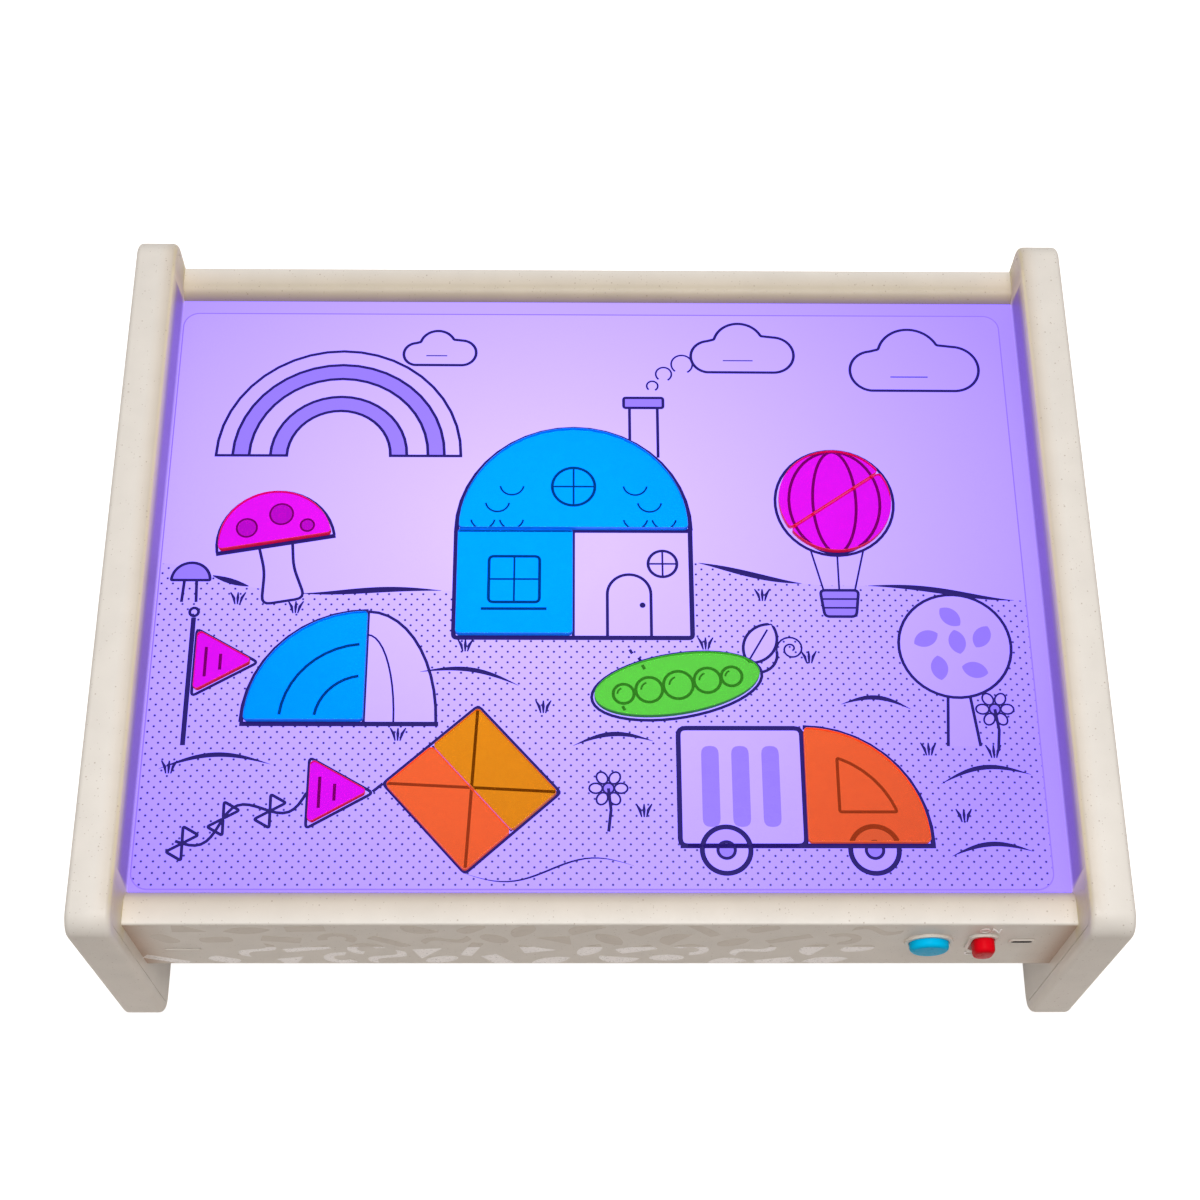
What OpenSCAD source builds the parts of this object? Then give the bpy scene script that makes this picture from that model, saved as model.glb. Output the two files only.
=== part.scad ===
// Learning light table: a hollow body between two side panels, with a lit plate recessed
// between two rails, a picture card on the plate and loose colour tiles on the card.
// X runs from left to right, the controls face -Y, and the table stands on Z = 0.

/* [Table] */
// Overall width across both side panels
table_w = 400; // [392:1:440]
// Depth of a side panel from front to back
table_d = 311; // [306:1:350]
// Overall height of the side panels above the floor
table_h = 127; // [120:1:160]

/* [Side panels] */
// Thickness of a side panel
panel_t = 17.2; // [15:0.1:21]
// Corner radius of a side panel, seen from its side
panel_corner_r = 9; // [6:0.5:14]
// Rounding along a side panel's outer edge
panel_edge_r = 2.2; // [1:0.1:2.8]
// Rounding along a side panel's inner edge, beside the lit plate
panel_inner_r = 2.4; // [1:0.1:4.4]
// Thickness of a panel shell's outer face
panel_wall = 2.6; // [2.2:0.1:3.4]
// Wall of a panel shell around its edge
panel_rim = 4.8; // [4.6:0.1:5.6]
// Thickness of the inner cover that closes a panel shell
panel_cover_t = 2.5; // [2:0.1:4]
// Length of a foot pad
pad_l = 46; // [30:1:60]
// Width of a foot pad
pad_w = 9; // [6:0.5:11]
// Thickness of a foot pad
pad_t = 1.8; // [1.5:0.1:2.4]
// Depth of the recess that holds a foot pad
pad_seat = 1.2; // [0.8:0.1:1.4]
// Distance from a foot pad's middle to the panel's end
pad_inset = 45; // [40:1:70]

/* [Body] */
// Height of the body's underside above the floor
body_z = 51.5; // [44:0.5:53]
// Height of the rails' crown above the floor
rail_z = 106; // [104:0.5:112]
// Width of the front and back rails
rail_w = 14.4; // [13.6:0.1:16]
// Rounding of a rail's inner edge
rail_inner_r = 6; // [4:0.5:6.5]
// Rounding of a rail's outer edge
rail_outer_r = 1; // [0.6:0.1:1.8]
// Set-back of the front wall behind the panels' front edges
front_setback = 9.3; // [8:0.1:12]
// Set-back of the back wall from the panels' back edges
back_setback = 2.4; // [1:0.1:6]
// Wall of the body moulding
wall = 2.5; // [2:0.1:3]
// Width of the ledge that carries the lit plate
ledge_w = 6; // [5:0.5:8]
// Thickness of the bottom cover
base_t = 2.5; // [2.2:0.1:3.2]

/* [Lit plate] */
// Depth of the lit plate below the rails' crown
plate_recess = 4.5; // [4:0.5:7]
// Thickness of the diffuser plate
plate_t = 3; // [2:0.5:4]
// Thickness of the reflector tray's sheet
tray_t = 1.5; // [1:0.1:2]
// Height of the reflector tray's floor above the bottom cover
tray_rise = 20; // [19:0.5:23]
// How far each side of the reflector tray slopes inwards
tray_slope = 20; // [12:1:30]
// Width of an LED strip
strip_w = 10; // [8:0.5:14]
// Thickness of the LED circuit board
strip_t = 1.2; // [0.8:0.1:2]
// Number of LED strips
strip_count = 4; // [2:1:5]
// LEDs on one strip
leds_per_strip = 8; // [4:1:10]
// Side of an LED
led_side = 5; // [3:0.5:6]
// Height of an LED
led_h = 1.4; // [1:0.1:2]

/* [Controls] */
// Height of the controls' middle above the body's underside
control_rise = 32.3; // [30:0.1:35]
// Distance of the button's middle from the right panel's inner face
button_inset = 54.1; // [51:0.1:57]
// Diameter of the button cap
button_dia = 15.5; // [14:0.1:18]
// How far the button cap stands out of the wall
button_proud = 4.4; // [3:0.1:6]
// Travel of the button
button_travel = 1.2; // [0.5:0.1:1.3]
// Distance of the knob's middle from the right panel's inner face
knob_inset = 33.3; // [32.5:0.1:34]
// Width of the knob
knob_w = 8.2; // [7.5:0.1:10]
// Height of the knob
knob_h = 12; // [10:0.1:13]
// How far the knob stands out of the wall
knob_proud = 6.6; // [4:0.1:7.5]
// Travel of the knob between ON and OFF
knob_travel = 6; // [4:0.1:6.5]
// Height by which the moulded ring and rim stand out of the wall
ring_proud = 1.1; // [0.6:0.1:1.6]
// Wall of the moulded ring and rim
ring_w = 1.5; // [1:0.1:2]
// Distance of the power inlet's middle from the right panel's inner face
inlet_inset = 17.5; // [16.8:0.1:18.3]
// Width of the power inlet's opening
inlet_w = 8.3; // [7.5:0.1:9]
// Height of the power inlet's opening
inlet_h = 2.7; // [2.4:0.1:3.2]
// Distance from the front wall to the control board
board_off = 8.5; // [8.2:0.1:8.8]
// Thickness of the control board
board_t = 1.6; // [1:0.1:2]
// Width of the latch window in the front wall
window_w = 14.3; // [10:0.1:18]
// Height of the latch window
window_h = 2; // [1.6:0.1:3]
// Height of the latch window's middle above the body's underside
window_rise = 20.9; // [18:0.1:28]
// Distance of the latch window's middle from the left panel's inner face
window_inset = 17.9; // [14:0.1:22]

/* [Battery bay] */
// Diameter of a cell
cell_dia = 14.2; // [13.5:0.1:14.5]
// Length of a cell with its tip
cell_l = 50.2; // [48:0.1:50.5]
// Room for the contacts at each end of the bay
contact_room = 4; // [3.2:0.1:6]
// Wall of the battery box
box_wall = 1.6; // [1.2:0.1:2.4]
// Width of the battery box's flange outside the door
flange_w = 6; // [5:0.5:9]
// Distance of the bay's middle behind the table's middle
bay_y = 40; // [20:1:60]
// How far the door laps past the bay on each side
door_lap = 5; // [4.8:0.1:7]
// Depth of the door's screw ear
ear_d = 9; // [8:0.5:12]
// Width of the door's screw ear
ear_w = 14; // [12:0.5:20]

/* [Card and tiles] */
// Strip of the plate that shows to the right of the card
card_side_gap = 6.4; // [3:0.1:12]
// Strip of the plate that shows behind the card
card_back_gap = 6.5; // [4:0.1:14]
// Thickness of the picture card
card_t = 0.6; // [0.3:0.1:1]
// Corner radius of the picture card
card_corner_r = 7; // [4:0.5:20]
// Distance of the card from the left panel and the front rail
card_gap = 0.6; // [0.5:0.1:3]
// Turn of the card on the plate, in degrees
card_turn = 0; // [-0.15:0.05:0.15]
// Side of the square tile, and radius of the large round tiles
tile_unit = 48; // [44:0.5:49]
// Thickness of a tile
tile_t = 3; // [2:0.1:4]
// Corner radius of a tile
tile_corner_r = 1.6; // [0.8:0.1:3]
// Gap between tiles that lie edge to edge
tile_gap = 0.5; // [0.3:0.1:1]
// Diameter of the small half discs
half_disc_dia = 47.2; // [42:0.1:48]
// Side of a triangular tile
triangle_side = 27.5; // [22:0.5:29]
// Length of the ellipse tile
ellipse_l = 68; // [60:0.5:72]
// Width of the ellipse tile
ellipse_w = 26; // [20:0.5:28]

/* [Fits] */
// Gap round a piece that drops into a seat
fit_gap = 0.2; // [0.1:0.05:0.4]
// Gap round a piece that slides
slide_gap = 0.3; // [0.2:0.05:0.4]
// Radius of a screw's shank
screw_r = 1.45; // [1.2:0.05:1.6]
// Radius of a screw's head
screw_head_r = 2.8; // [2.4:0.1:3.2]
// Height of a screw's head
screw_head_h = 1.9; // [1.5:0.1:2]
// Radius of a screw boss
boss_r = 4.2; // [3.6:0.1:4.6]
// Radius of a lead's insulation
lead_r = 0.8; // [0.5:0.1:1]

/* [Hidden] */
$fn = 64;
hull_fn = 32;
eps = 0.05;
// Clearance of a screw's shank in its pilot hole, and in a plate it passes through
pilot_gap = 0.05;
pass_gap = 0.25;

cream = [0.92, 0.89, 0.85];
white = [0.97, 0.97, 0.97];
glow = [0.83, 0.75, 1.0];
steel = [0.75, 0.76, 0.78];
black = [0.12, 0.12, 0.13];
green_board = [0.1, 0.36, 0.2];
blue = [0.05, 0.62, 0.95];
red = [0.88, 0.08, 0.13];
tile_blue = [0.0, 0.66, 1.0, 0.8];
tile_magenta = [0.93, 0.12, 0.9, 0.8];
tile_green = [0.34, 0.74, 0.22, 0.8];
tile_amber = [0.93, 0.6, 0.13, 0.8];
tile_orange = [0.97, 0.41, 0.19, 0.8];

// Side panels
pad_proud = pad_t - pad_seat;
panel_h = table_h - pad_proud;
panel_mid_z = pad_proud + panel_h / 2;
x_in = table_w / 2 - panel_t;
panel_bead_r = min(panel_inner_r, panel_corner_r / 2);

// Body
y_front = -table_d / 2 + front_setback;
y_back = table_d / 2 - back_setback;
y_inside = y_front + wall;
well_front = y_front + rail_w;
well_back = y_back - rail_w;
base_top = body_z + base_t;

// Lit plate: the tray's flange lies on the ledge and the plate lies on the flange
plate_z = rail_z - plate_recess;
ledge_z = plate_z - plate_t - tray_t;
ledge_under_z = ledge_z - wall;
tray_z = base_top + tray_rise;
tray_gap = 2 * fit_gap;
tray_x = x_in - ledge_w - tray_gap;
tray_front = well_front + ledge_w + tray_gap;
tray_back = well_back - ledge_w - tray_gap;
tray_mid_y = (tray_front + tray_back) / 2;
tray_top = [2 * tray_x, tray_back - tray_front];
tray_floor = [tray_top[0] - 2 * tray_slope, tray_top[1] - 2 * tray_slope];
well_size = [2 * (x_in - fit_gap), well_back - well_front - 2 * fit_gap];
well_mid_y = (well_front + well_back) / 2;
strip_end_gap = 6;
strip_l = tray_floor[0] - 2 * strip_end_gap;
strip_pitch = (tray_floor[1] - 2 * strip_end_gap - strip_w) / (strip_count - 1);
led_pitch = (strip_l - 4 * strip_end_gap) / (leds_per_strip - 1);

// Screws that hold the panels: the head lies on the end wall, inside the body
panel_screw_inset = 45;
panel_screw_z = [body_z + 15, ledge_under_z - 12];
panel_screw_y = [y_front + panel_screw_inset, y_back - panel_screw_inset];
panel_screw_grip = 9;
panel_screw_l = wall + panel_cover_t + panel_screw_grip - 1;

// Screws that hold the bottom cover
base_pad_h = 2;
base_boss_h = 16;
base_boss_sink = 0.8;
base_screw_l = 12;
base_screw_inset = 14;
front_screw_x = [-140, -60, 20, 100];
back_screw_x = 60;
base_screws = concat(
    [for (x = front_screw_x) [x, y_inside + boss_r - base_boss_sink]],
    [for (x = [-x_in + base_screw_inset, -back_screw_x, back_screw_x, x_in - base_screw_inset])
        [x, y_back - wall - boss_r + base_boss_sink]]);
base_size = [2 * (x_in - wall - fit_gap), y_back - y_front - 2 * wall - 2 * fit_gap];
base_mid_y = (y_front + y_back) / 2;

// Controls
control_z = body_z + control_rise;
button_x = x_in - button_inset;
knob_x = x_in - knob_inset;
inlet_x = x_in - inlet_inset;
board_front = y_inside + board_off;
board_left = button_x - 18;
board_right = x_in - 4;
board_low = control_z - 20;
board_high = ledge_under_z - 0.8;
flange_gap = 0.1;
flange_t = 1.5;
flange_lap = 1.6;
button_r = button_dia / 2;
button_edge_r = 1.8;
tact_side = 6;
tact_h = 3.5;
plunger_r = 1.7;
plunger_rest = 0.4;
plunger_out = button_travel + plunger_rest;
plunger_in = 1.4;
stem_r = 2;
knob_z = control_z + 2.2;
knob_end_gap = 0.3;
knob_corner_r = knob_w / 2 - knob_end_gap;
knob_edge_r = 1.6;
slot_w = knob_w + 2 * slide_gap;
slot_h = knob_h + knob_travel + 2 * slide_gap;
slot_z = knob_z - knob_travel / 2;
shield_w = slot_w + 2 * flange_lap;
shield_h = knob_h + 2 * (knob_travel + slide_gap + flange_lap);
knob_stem = [3, 3.5];
knob_stem_in = 2.2;
switch_size = [8.5, 16, 5];
switch_slot_depth = 3.2;
inlet_shell = 0.45;
inlet_depth = 6;
tongue = [6.4, 0.7, 4.5];
inlet_rim_w = 1;
inlet_rim_proud = 0.5;
post_r = 3;
post_h = board_off;
post_screw_l = 6;
post_inset = 4.5;
posts = [[board_left + post_inset, board_low + post_inset],
         [board_right - post_inset, board_low + post_inset],
         [board_left + post_inset, board_high - post_inset]];
window_x = -x_in + window_inset;
window_z = body_z + window_rise;
hook_t = 1.8;
hook_gap = 0.3;
hook_proud = 0.4;
hook_reach = wall + hook_proud;

// Battery bay: two cells in line, in two rows
cell_r = cell_dia / 2;
cell_gap = 0.5;
bay_l = 2 * cell_l + 2 * contact_room;
bay_w = 2 * cell_dia + 3 * cell_gap;
bay_h = cell_dia + 2 * cell_gap;
cell_z = base_top + cell_gap + cell_r;
box_flange_t = 1.6;
door_seat_gap = 0.1;
door_gap = 0.4;
door_t = base_t - door_seat_gap;
door_l = bay_l + 2 * door_lap;
door_w = bay_w + 2 * door_lap;
door_back = bay_y + door_w / 2;
door_front = bay_y - door_w / 2;
tab_x = 35;
tab_w = 12;
tab_t = 1.2;
tab_reach = 3;
tab_root = 1.6;
tab_gap = 0.2;
door_screw_y = door_front - ear_d / 2;
door_screw_r = 1.25;
door_screw_head_r = 2.6;
door_screw_head_h = 1.3;
door_screw_tip = 2.2;
nut_r = 3.6;
nut_t = 1.2;
nut_hole_r = 1.6;
nut_boss_r = 5.2;
nut_boss_h = 8;
nut_well_r = 2.6;
stake_r = 1.4;
stake_head_r = 2.4;
stake_head_h = 0.9;
stake_x = door_l / 2 + flange_w / 2 + door_gap;
stake_y = door_w / 2 + flange_w / 2 + door_gap;
contact_t = 0.6;
contact_side = 10;
lead_sides = 8;
led_lead_inset = 22;

// Card and tiles, with tile places measured from the card's middle
card_w = 2 * x_in - card_gap - card_side_gap;
card_x = -x_in + card_gap + card_w / 2;
card_d = well_back - well_front - card_gap - card_back_gap;
card_y = well_front + card_gap + card_d / 2;
house = [-8, 24];
balloon = [102, 38];
balloon_turn = 35;
kite_front = 41;
kite = [-48, kite_front - card_d / 2];
kite_turn = 42;
half_step = tile_unit / 2 + tile_gap / 2;
kite_step = tile_unit / 4 + tile_gap / 2;
kite_side = [kite_step * cos(kite_turn), kite_step * sin(kite_turn)];
quarter_turn = 90;
half_turn = 180;
balloon_side = tile_gap / 2 * [-sin(balloon_turn), cos(balloon_turn)];
// Each tile: name, shape, colour, place on the card, turn
TILES = [
    ["tile_blue_half_disc", "large_half_disc", tile_blue, house + [0, tile_gap], 0],
    ["tile_blue_square", "square", tile_blue, house - [half_step, tile_unit / 2], 0],
    ["tile_blue_quarter_disc", "quarter_disc", tile_blue, [-92, -62], quarter_turn],
    ["tile_magenta_half_disc_a", "half_disc", tile_magenta, [-132, 18], 10],
    ["tile_magenta_half_disc_b", "half_disc", tile_magenta, balloon + balloon_side, balloon_turn],
    ["tile_magenta_half_disc_c", "half_disc", tile_magenta, balloon - balloon_side, balloon_turn + half_turn],
    ["tile_magenta_triangle_a", "triangle", tile_magenta, [-153, -36], 0],
    ["tile_magenta_triangle_b", "triangle", tile_magenta, [-104, -92], 0],
    ["tile_green_ellipse", "ellipse", tile_green, [34, -46], 10],
    ["tile_amber_bar", "bar", tile_amber, kite + kite_side, kite_turn + quarter_turn],
    ["tile_orange_bar", "bar", tile_orange, kite - kite_side, kite_turn + quarter_turn],
    ["tile_orange_quarter_disc", "quarter_disc", tile_orange, [84, -113], 0]];

// Shared shapes
module rounded_rect(w, h, r) {
    square([w - 2 * r, h], center = true);
    square([w, h - 2 * r], center = true);
    for (sx = [-1, 1], sy = [-1, 1])
        translate([sx * (w / 2 - r), sy * (h / 2 - r)])
            circle(r);
}

module block(low, high) {
    translate(low) cube(high - low);
}

// A section drawn in Y and Z, run along X about the middle
module along_x(length) {
    translate([-length / 2, 0, 0])
        rotate([90, 0, 90])
            linear_extrude(length)
                children();
}

// A shape drawn in X and Y that rises towards +Y from the given place on the front wall
module into_wall(x, y, z) {
    translate([x, y, z]) rotate([-90, 0, 0]) children();
}

// A screw that points to +Z with its head's seat at zero
module screw(length, r = screw_r, head_r = screw_head_r, head_h = screw_head_h) {
    translate([0, 0, -head_h]) cylinder(r = head_r, h = head_h);
    translate([0, 0, -eps]) cylinder(r = r, h = length + eps);
}

// A round disc with rounded edges, for hulls
module soft_disc(r, t, edge) {
    for (z = [edge, t - edge])
        soft_ring(r, edge, z);
}

// A ring of round section whose middle lies at height z
module soft_ring(r, edge, z) {
    translate([0, 0, z])
        rotate_extrude($fn = hull_fn)
            translate([r - edge, 0])
                circle(edge, $fn = hull_fn / 2);
}

// A tapered block between two rectangles about the tray's middle
module taper(low_size, low_z, high_size, high_z) {
    hull() {
        translate([0, tray_mid_y, low_z + eps / 2]) cube([low_size[0], low_size[1], eps], center = true);
        translate([0, tray_mid_y, high_z - eps / 2]) cube([high_size[0], high_size[1], eps], center = true);
    }
}

// A lead: one tube with round section along its route
function lead_dir(p, i) = let (
    a = p[max(i - 1, 0)],
    b = p[min(i + 1, len(p) - 1)]) (b - a) / norm(b - a);
function lead_ring(c, d, r) = let (
    side = abs(d[2]) > 0.9 ? [1, 0, 0] : [0, 0, 1],
    u = cross(d, side) / norm(cross(d, side)),
    w = cross(d, u))
    [for (k = [0:lead_sides - 1]) c + r * (cos(k * 360 / lead_sides) * u + sin(k * 360 / lead_sides) * w)];
module lead(p, r) {
    n = len(p);
    points = [for (i = [0:n - 1]) each lead_ring(p[i], lead_dir(p, i), r)];
    sides = [for (i = [0:n - 2], k = [0:lead_sides - 1]) let (
        a = i * lead_sides + k,
        b = i * lead_sides + (k + 1) % lead_sides)
        each [[a, a + lead_sides, b], [b, a + lead_sides, b + lead_sides]]];
    last = (n - 1) * lead_sides;
    caps = [for (k = [1:lead_sides - 2]) each [[0, k, k + 1], [last, last + k + 1, last + k]]];
    polyhedron(points, concat(sides, caps));
}

// Side panels
module panel_profile(inset) {
    rounded_rect(table_d - 2 * inset, panel_h - 2 * inset, panel_corner_r - inset);
}

module panel_layer(x, t, inset) {
    translate([x, 0, panel_mid_z])
        rotate([90, 0, 90])
            linear_extrude(t)
                panel_profile(inset);
}

module at_panel_screws() {
    for (y = panel_screw_y, z = panel_screw_z)
        translate([x_in, y, z]) rotate([0, 90, 0]) children();
}

module at_pads() {
    for (side = [-1, 1])
        translate([x_in + panel_t / 2, side * (table_d / 2 - pad_inset), 0]) children();
}

module panel_shell() {
    boss_l = panel_t - panel_cover_t - panel_wall / 2;
    difference() {
        union() {
            difference() {
                hull()
                    for (sy = [-1, 1], sz = [-1, 1])
                        translate([x_in, sy * (table_d / 2 - panel_corner_r),
                                   panel_mid_z + sz * (panel_h / 2 - panel_corner_r)])
                            rotate([0, 90, 0]) {
                                soft_ring(panel_corner_r, panel_bead_r, panel_bead_r);
                                soft_ring(panel_corner_r, panel_edge_r, panel_t - panel_edge_r);
                            }
                panel_layer(x_in - 1, panel_t - panel_wall + 1, panel_rim);
            }
            at_panel_screws() translate([0, 0, panel_cover_t]) cylinder(r = boss_r, h = boss_l);
        }
        at_panel_screws()
            translate([0, 0, panel_cover_t - eps])
                cylinder(r = screw_r + pilot_gap, h = panel_screw_grip + eps);
        at_pads()
            linear_extrude(pad_proud + pad_seat)
                rounded_rect(pad_w + 2 * fit_gap, pad_l + 2 * fit_gap, pad_w / 2);
    }
}

module panel_cover() {
    difference() {
        panel_layer(x_in, panel_cover_t, panel_rim + fit_gap);
        at_panel_screws()
            translate([0, 0, -1]) cylinder(r = screw_r + pass_gap, h = panel_cover_t + 2);
    }
}

module left_panel_shell() { color(cream) mirror([1, 0, 0]) panel_shell(); }
module right_panel_shell() { color(cream) panel_shell(); }
module left_panel_cover() { color(cream) mirror([1, 0, 0]) panel_cover(); }
module right_panel_cover() { color(cream) panel_cover(); }

module panel_screws() {
    color(steel)
        for (side = [0, 1])
            mirror([side, 0, 0])
                at_panel_screws() translate([0, 0, -wall]) screw(panel_screw_l);
}

module foot_pads() {
    color(black)
        for (side = [0, 1])
            mirror([side, 0, 0])
                at_pads() linear_extrude(pad_t) rounded_rect(pad_w, pad_l, pad_w / 2 - fit_gap);
}

// Body
module corner_cut(y, z, r, toward) {
    translate([y, z])
        difference() {
            translate([toward > 0 ? 0 : -r - eps, 0]) square(r + eps);
            circle(r);
        }
}

module rail_section() {
    hollow_w = rail_w - 2 * wall;
    hollow_h = rail_z - wall - ledge_under_z + 1;
    hollow_cut = max(rail_inner_r - wall, eps);
    difference() {
        translate([y_front, ledge_under_z]) square([rail_w, rail_z - ledge_under_z]);
        translate([y_inside, ledge_under_z - 1])
            polygon([[0, 0], [hollow_w, 0], [hollow_w, hollow_h - hollow_cut],
                     [hollow_w - hollow_cut, hollow_h], [0, hollow_h]]);
        corner_cut(y_front + rail_outer_r, rail_z - rail_outer_r, rail_outer_r, -1);
        corner_cut(well_front - rail_inner_r, rail_z - rail_inner_r, rail_inner_r, 1);
    }
    translate([y_front, body_z]) square([wall, ledge_under_z - body_z + 1]);
}

module slot_shape(w, h, r) {
    linear_extrude(wall + 3) rounded_rect(w, h, r);
}

module wall_cuts() {
    into_wall(button_x, y_front - 2, control_z) cylinder(r = button_r + slide_gap, h = wall + 3);
    into_wall(knob_x, y_front - 2, slot_z) slot_shape(slot_w, slot_h, knob_corner_r);
    into_wall(inlet_x, y_front - 2, control_z) slot_shape(inlet_w, inlet_h, inlet_h / 2 - eps);
    into_wall(window_x, y_front - 2, window_z) slot_shape(window_w, window_h, window_h / 4);
}

module wall_rims() {
    into_wall(button_x, y_front - ring_proud, control_z)
        cylinder(r = button_r + slide_gap + ring_w, h = ring_proud + eps);
    into_wall(knob_x, y_front - ring_proud, slot_z)
        linear_extrude(ring_proud + eps)
            rounded_rect(slot_w + 2 * ring_w, slot_h + 2 * ring_w, knob_corner_r + ring_w);
    into_wall(inlet_x, y_front - inlet_rim_proud, control_z)
        linear_extrude(inlet_rim_proud + eps)
            rounded_rect(inlet_w + 2 * inlet_rim_w, inlet_h + 2 * inlet_rim_w, inlet_h / 2);
}

module body_frame() {
    color(cream)
        difference() {
            union() {
                along_x(2 * x_in) rail_section();
                translate([0, y_front + y_back, 0])
                    mirror([0, 1, 0])
                        along_x(2 * x_in) rail_section();
                for (side = [0, 1])
                    mirror([side, 0, 0])
                        block([x_in - wall, y_front, body_z], [x_in, y_back, ledge_z]);
                difference() {
                    block([-x_in, well_front - wall, ledge_under_z], [x_in, well_back + wall, ledge_z]);
                    block([ledge_w - x_in, well_front + ledge_w, ledge_under_z - 1],
                          [x_in - ledge_w, well_back - ledge_w, ledge_z + 1]);
                }
                for (p = base_screws)
                    translate([p[0], p[1], base_top + base_pad_h]) cylinder(r = boss_r, h = base_boss_h);
                for (p = posts)
                    into_wall(p[0], y_inside - eps, p[1]) cylinder(r = post_r, h = post_h + eps);
                wall_rims();
            }
            wall_cuts();
            for (side = [0, 1])
                mirror([side, 0, 0])
                    at_panel_screws()
                        translate([0, 0, -wall - 1]) cylinder(r = screw_r + pass_gap, h = wall + 2);
            for (p = base_screws)
                translate([p[0], p[1], base_top])
                    cylinder(r = screw_r + pilot_gap, h = base_screw_l + base_pad_h);
            for (p = posts)
                into_wall(p[0], y_inside + post_h - post_screw_l, p[1])
                    cylinder(r = screw_r + pilot_gap, h = post_screw_l + 1);
        }
}

module base_outline() {
    translate([0, base_mid_y]) square(base_size, center = true);
}

module door_outline(gap) {
    translate([0, bay_y]) square([door_l + 2 * gap, door_w + 2 * gap], center = true);
    translate([0, door_front - ear_d / 2 + door_lap / 2])
        square([ear_w + 2 * gap, ear_d + door_lap + 2 * gap], center = true);
}

module bottom_cover() {
    head_seat = screw_head_h + fit_gap;
    color(cream)
        difference() {
            union() {
                translate([0, 0, body_z]) linear_extrude(base_t) base_outline();
                intersection() {
                    translate([0, 0, body_z]) linear_extrude(base_t + base_pad_h) base_outline();
                    for (p = base_screws)
                        translate([p[0], p[1], body_z]) cylinder(r = boss_r, h = base_t + base_pad_h);
                }
                for (sx = [-1, 1], sy = [-1, 1])
                    translate([sx * stake_x, bay_y + sy * stake_y, base_top - eps]) {
                        cylinder(r = stake_r, h = box_flange_t + eps);
                        translate([0, 0, box_flange_t + eps]) cylinder(r = stake_head_r, h = stake_head_h);
                    }
                block([window_x - window_w / 2 + slide_gap, y_inside + hook_gap, base_top - eps],
                      [window_x + window_w / 2 - slide_gap, y_inside + hook_gap + hook_t,
                       window_z + window_h / 2]);
                block([window_x - window_w / 2 + slide_gap, y_inside - hook_reach, window_z - window_h / 4],
                      [window_x + window_w / 2 - slide_gap, y_inside + hook_gap + hook_t,
                       window_z + window_h / 4]);
            }
            translate([0, 0, body_z - 1]) linear_extrude(base_t + 2) door_outline(door_gap);
            for (p = base_screws)
                translate([p[0], p[1], body_z - 1]) {
                    cylinder(r = screw_r + pass_gap, h = base_t + base_pad_h + 2);
                    cylinder(r = screw_head_r + fit_gap, h = head_seat + 1);
                }
        }
}

module bottom_cover_screws() {
    color(steel)
        for (p = base_screws)
            translate([p[0], p[1], body_z + screw_head_h + fit_gap]) screw(base_screw_l);
}

// Lit plate
module diffuser_plate() {
    color(glow)
        translate([0, well_mid_y, plate_z - plate_t])
            linear_extrude(plate_t)
                square(well_size, center = true);
}

module reflector_tray() {
    color(white)
        difference() {
            union() {
                translate([0, well_mid_y, ledge_z])
                    linear_extrude(tray_t)
                        square(well_size, center = true);
                taper(tray_floor, tray_z, tray_top, ledge_z + eps);
            }
            taper(tray_floor - 2 * tray_t * [1, 1], tray_z + tray_t,
                  tray_top - 2 * tray_t * [1, 1], ledge_z + tray_t + 1);
            translate([lead_hole[0], lead_hole[1], tray_z - 1]) cylinder(r = lead_hole_r, h = tray_t + 2);
        }
}

strip_z = tray_z + tray_t;
strip_y = [for (i = [0:strip_count - 1]) tray_mid_y + (i - (strip_count - 1) / 2) * strip_pitch];
lead_hole_r = 4;
lead_hole = [strip_l / 2 - strip_w / 2, strip_y[0]];

module led_board() {
    color(white)
        translate([0, 0, strip_z])
            linear_extrude(strip_t) {
                for (y = strip_y)
                    translate([0, y]) square([strip_l, strip_w], center = true);
                translate([strip_l / 2 - strip_w / 2, tray_mid_y])
                    square([strip_w, strip_y[strip_count - 1] - strip_y[0]], center = true);
            }
}

module leds() {
    color([1, 0.98, 0.9])
        for (y = strip_y, k = [0:leds_per_strip - 1])
            translate([(k - (leds_per_strip - 1) / 2) * led_pitch, y, strip_z + strip_t + led_h / 2])
                cube([led_side, led_side, led_h], center = true);
}

// Controls
module control_board() {
    color(green_board)
        difference() {
            block([board_left, board_front, board_low], [board_right, board_front + board_t, board_high]);
            for (p = posts)
                into_wall(p[0], board_front - 1, p[1]) cylinder(r = screw_r + pass_gap, h = board_t + 2);
        }
}

module board_screws() {
    color(steel)
        for (p = posts)
            translate([p[0], board_front + board_t, p[1]])
                rotate([90, 0, 0]) screw(board_t + post_screw_l - 1);
}

module button_switch() {
    color(black)
        into_wall(button_x, board_front - tact_h, control_z)
            difference() {
                translate([-tact_side / 2, -tact_side / 2, 0]) cube([tact_side, tact_side, tact_h]);
                translate([0, 0, -1]) cylinder(r = plunger_r + slide_gap, h = tact_h - 0.7 + 1);
            }
}

module button_plunger() {
    color(white)
        into_wall(button_x, board_front - tact_h - plunger_out, control_z)
            cylinder(r = plunger_r, h = plunger_out + plunger_in);
}

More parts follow.
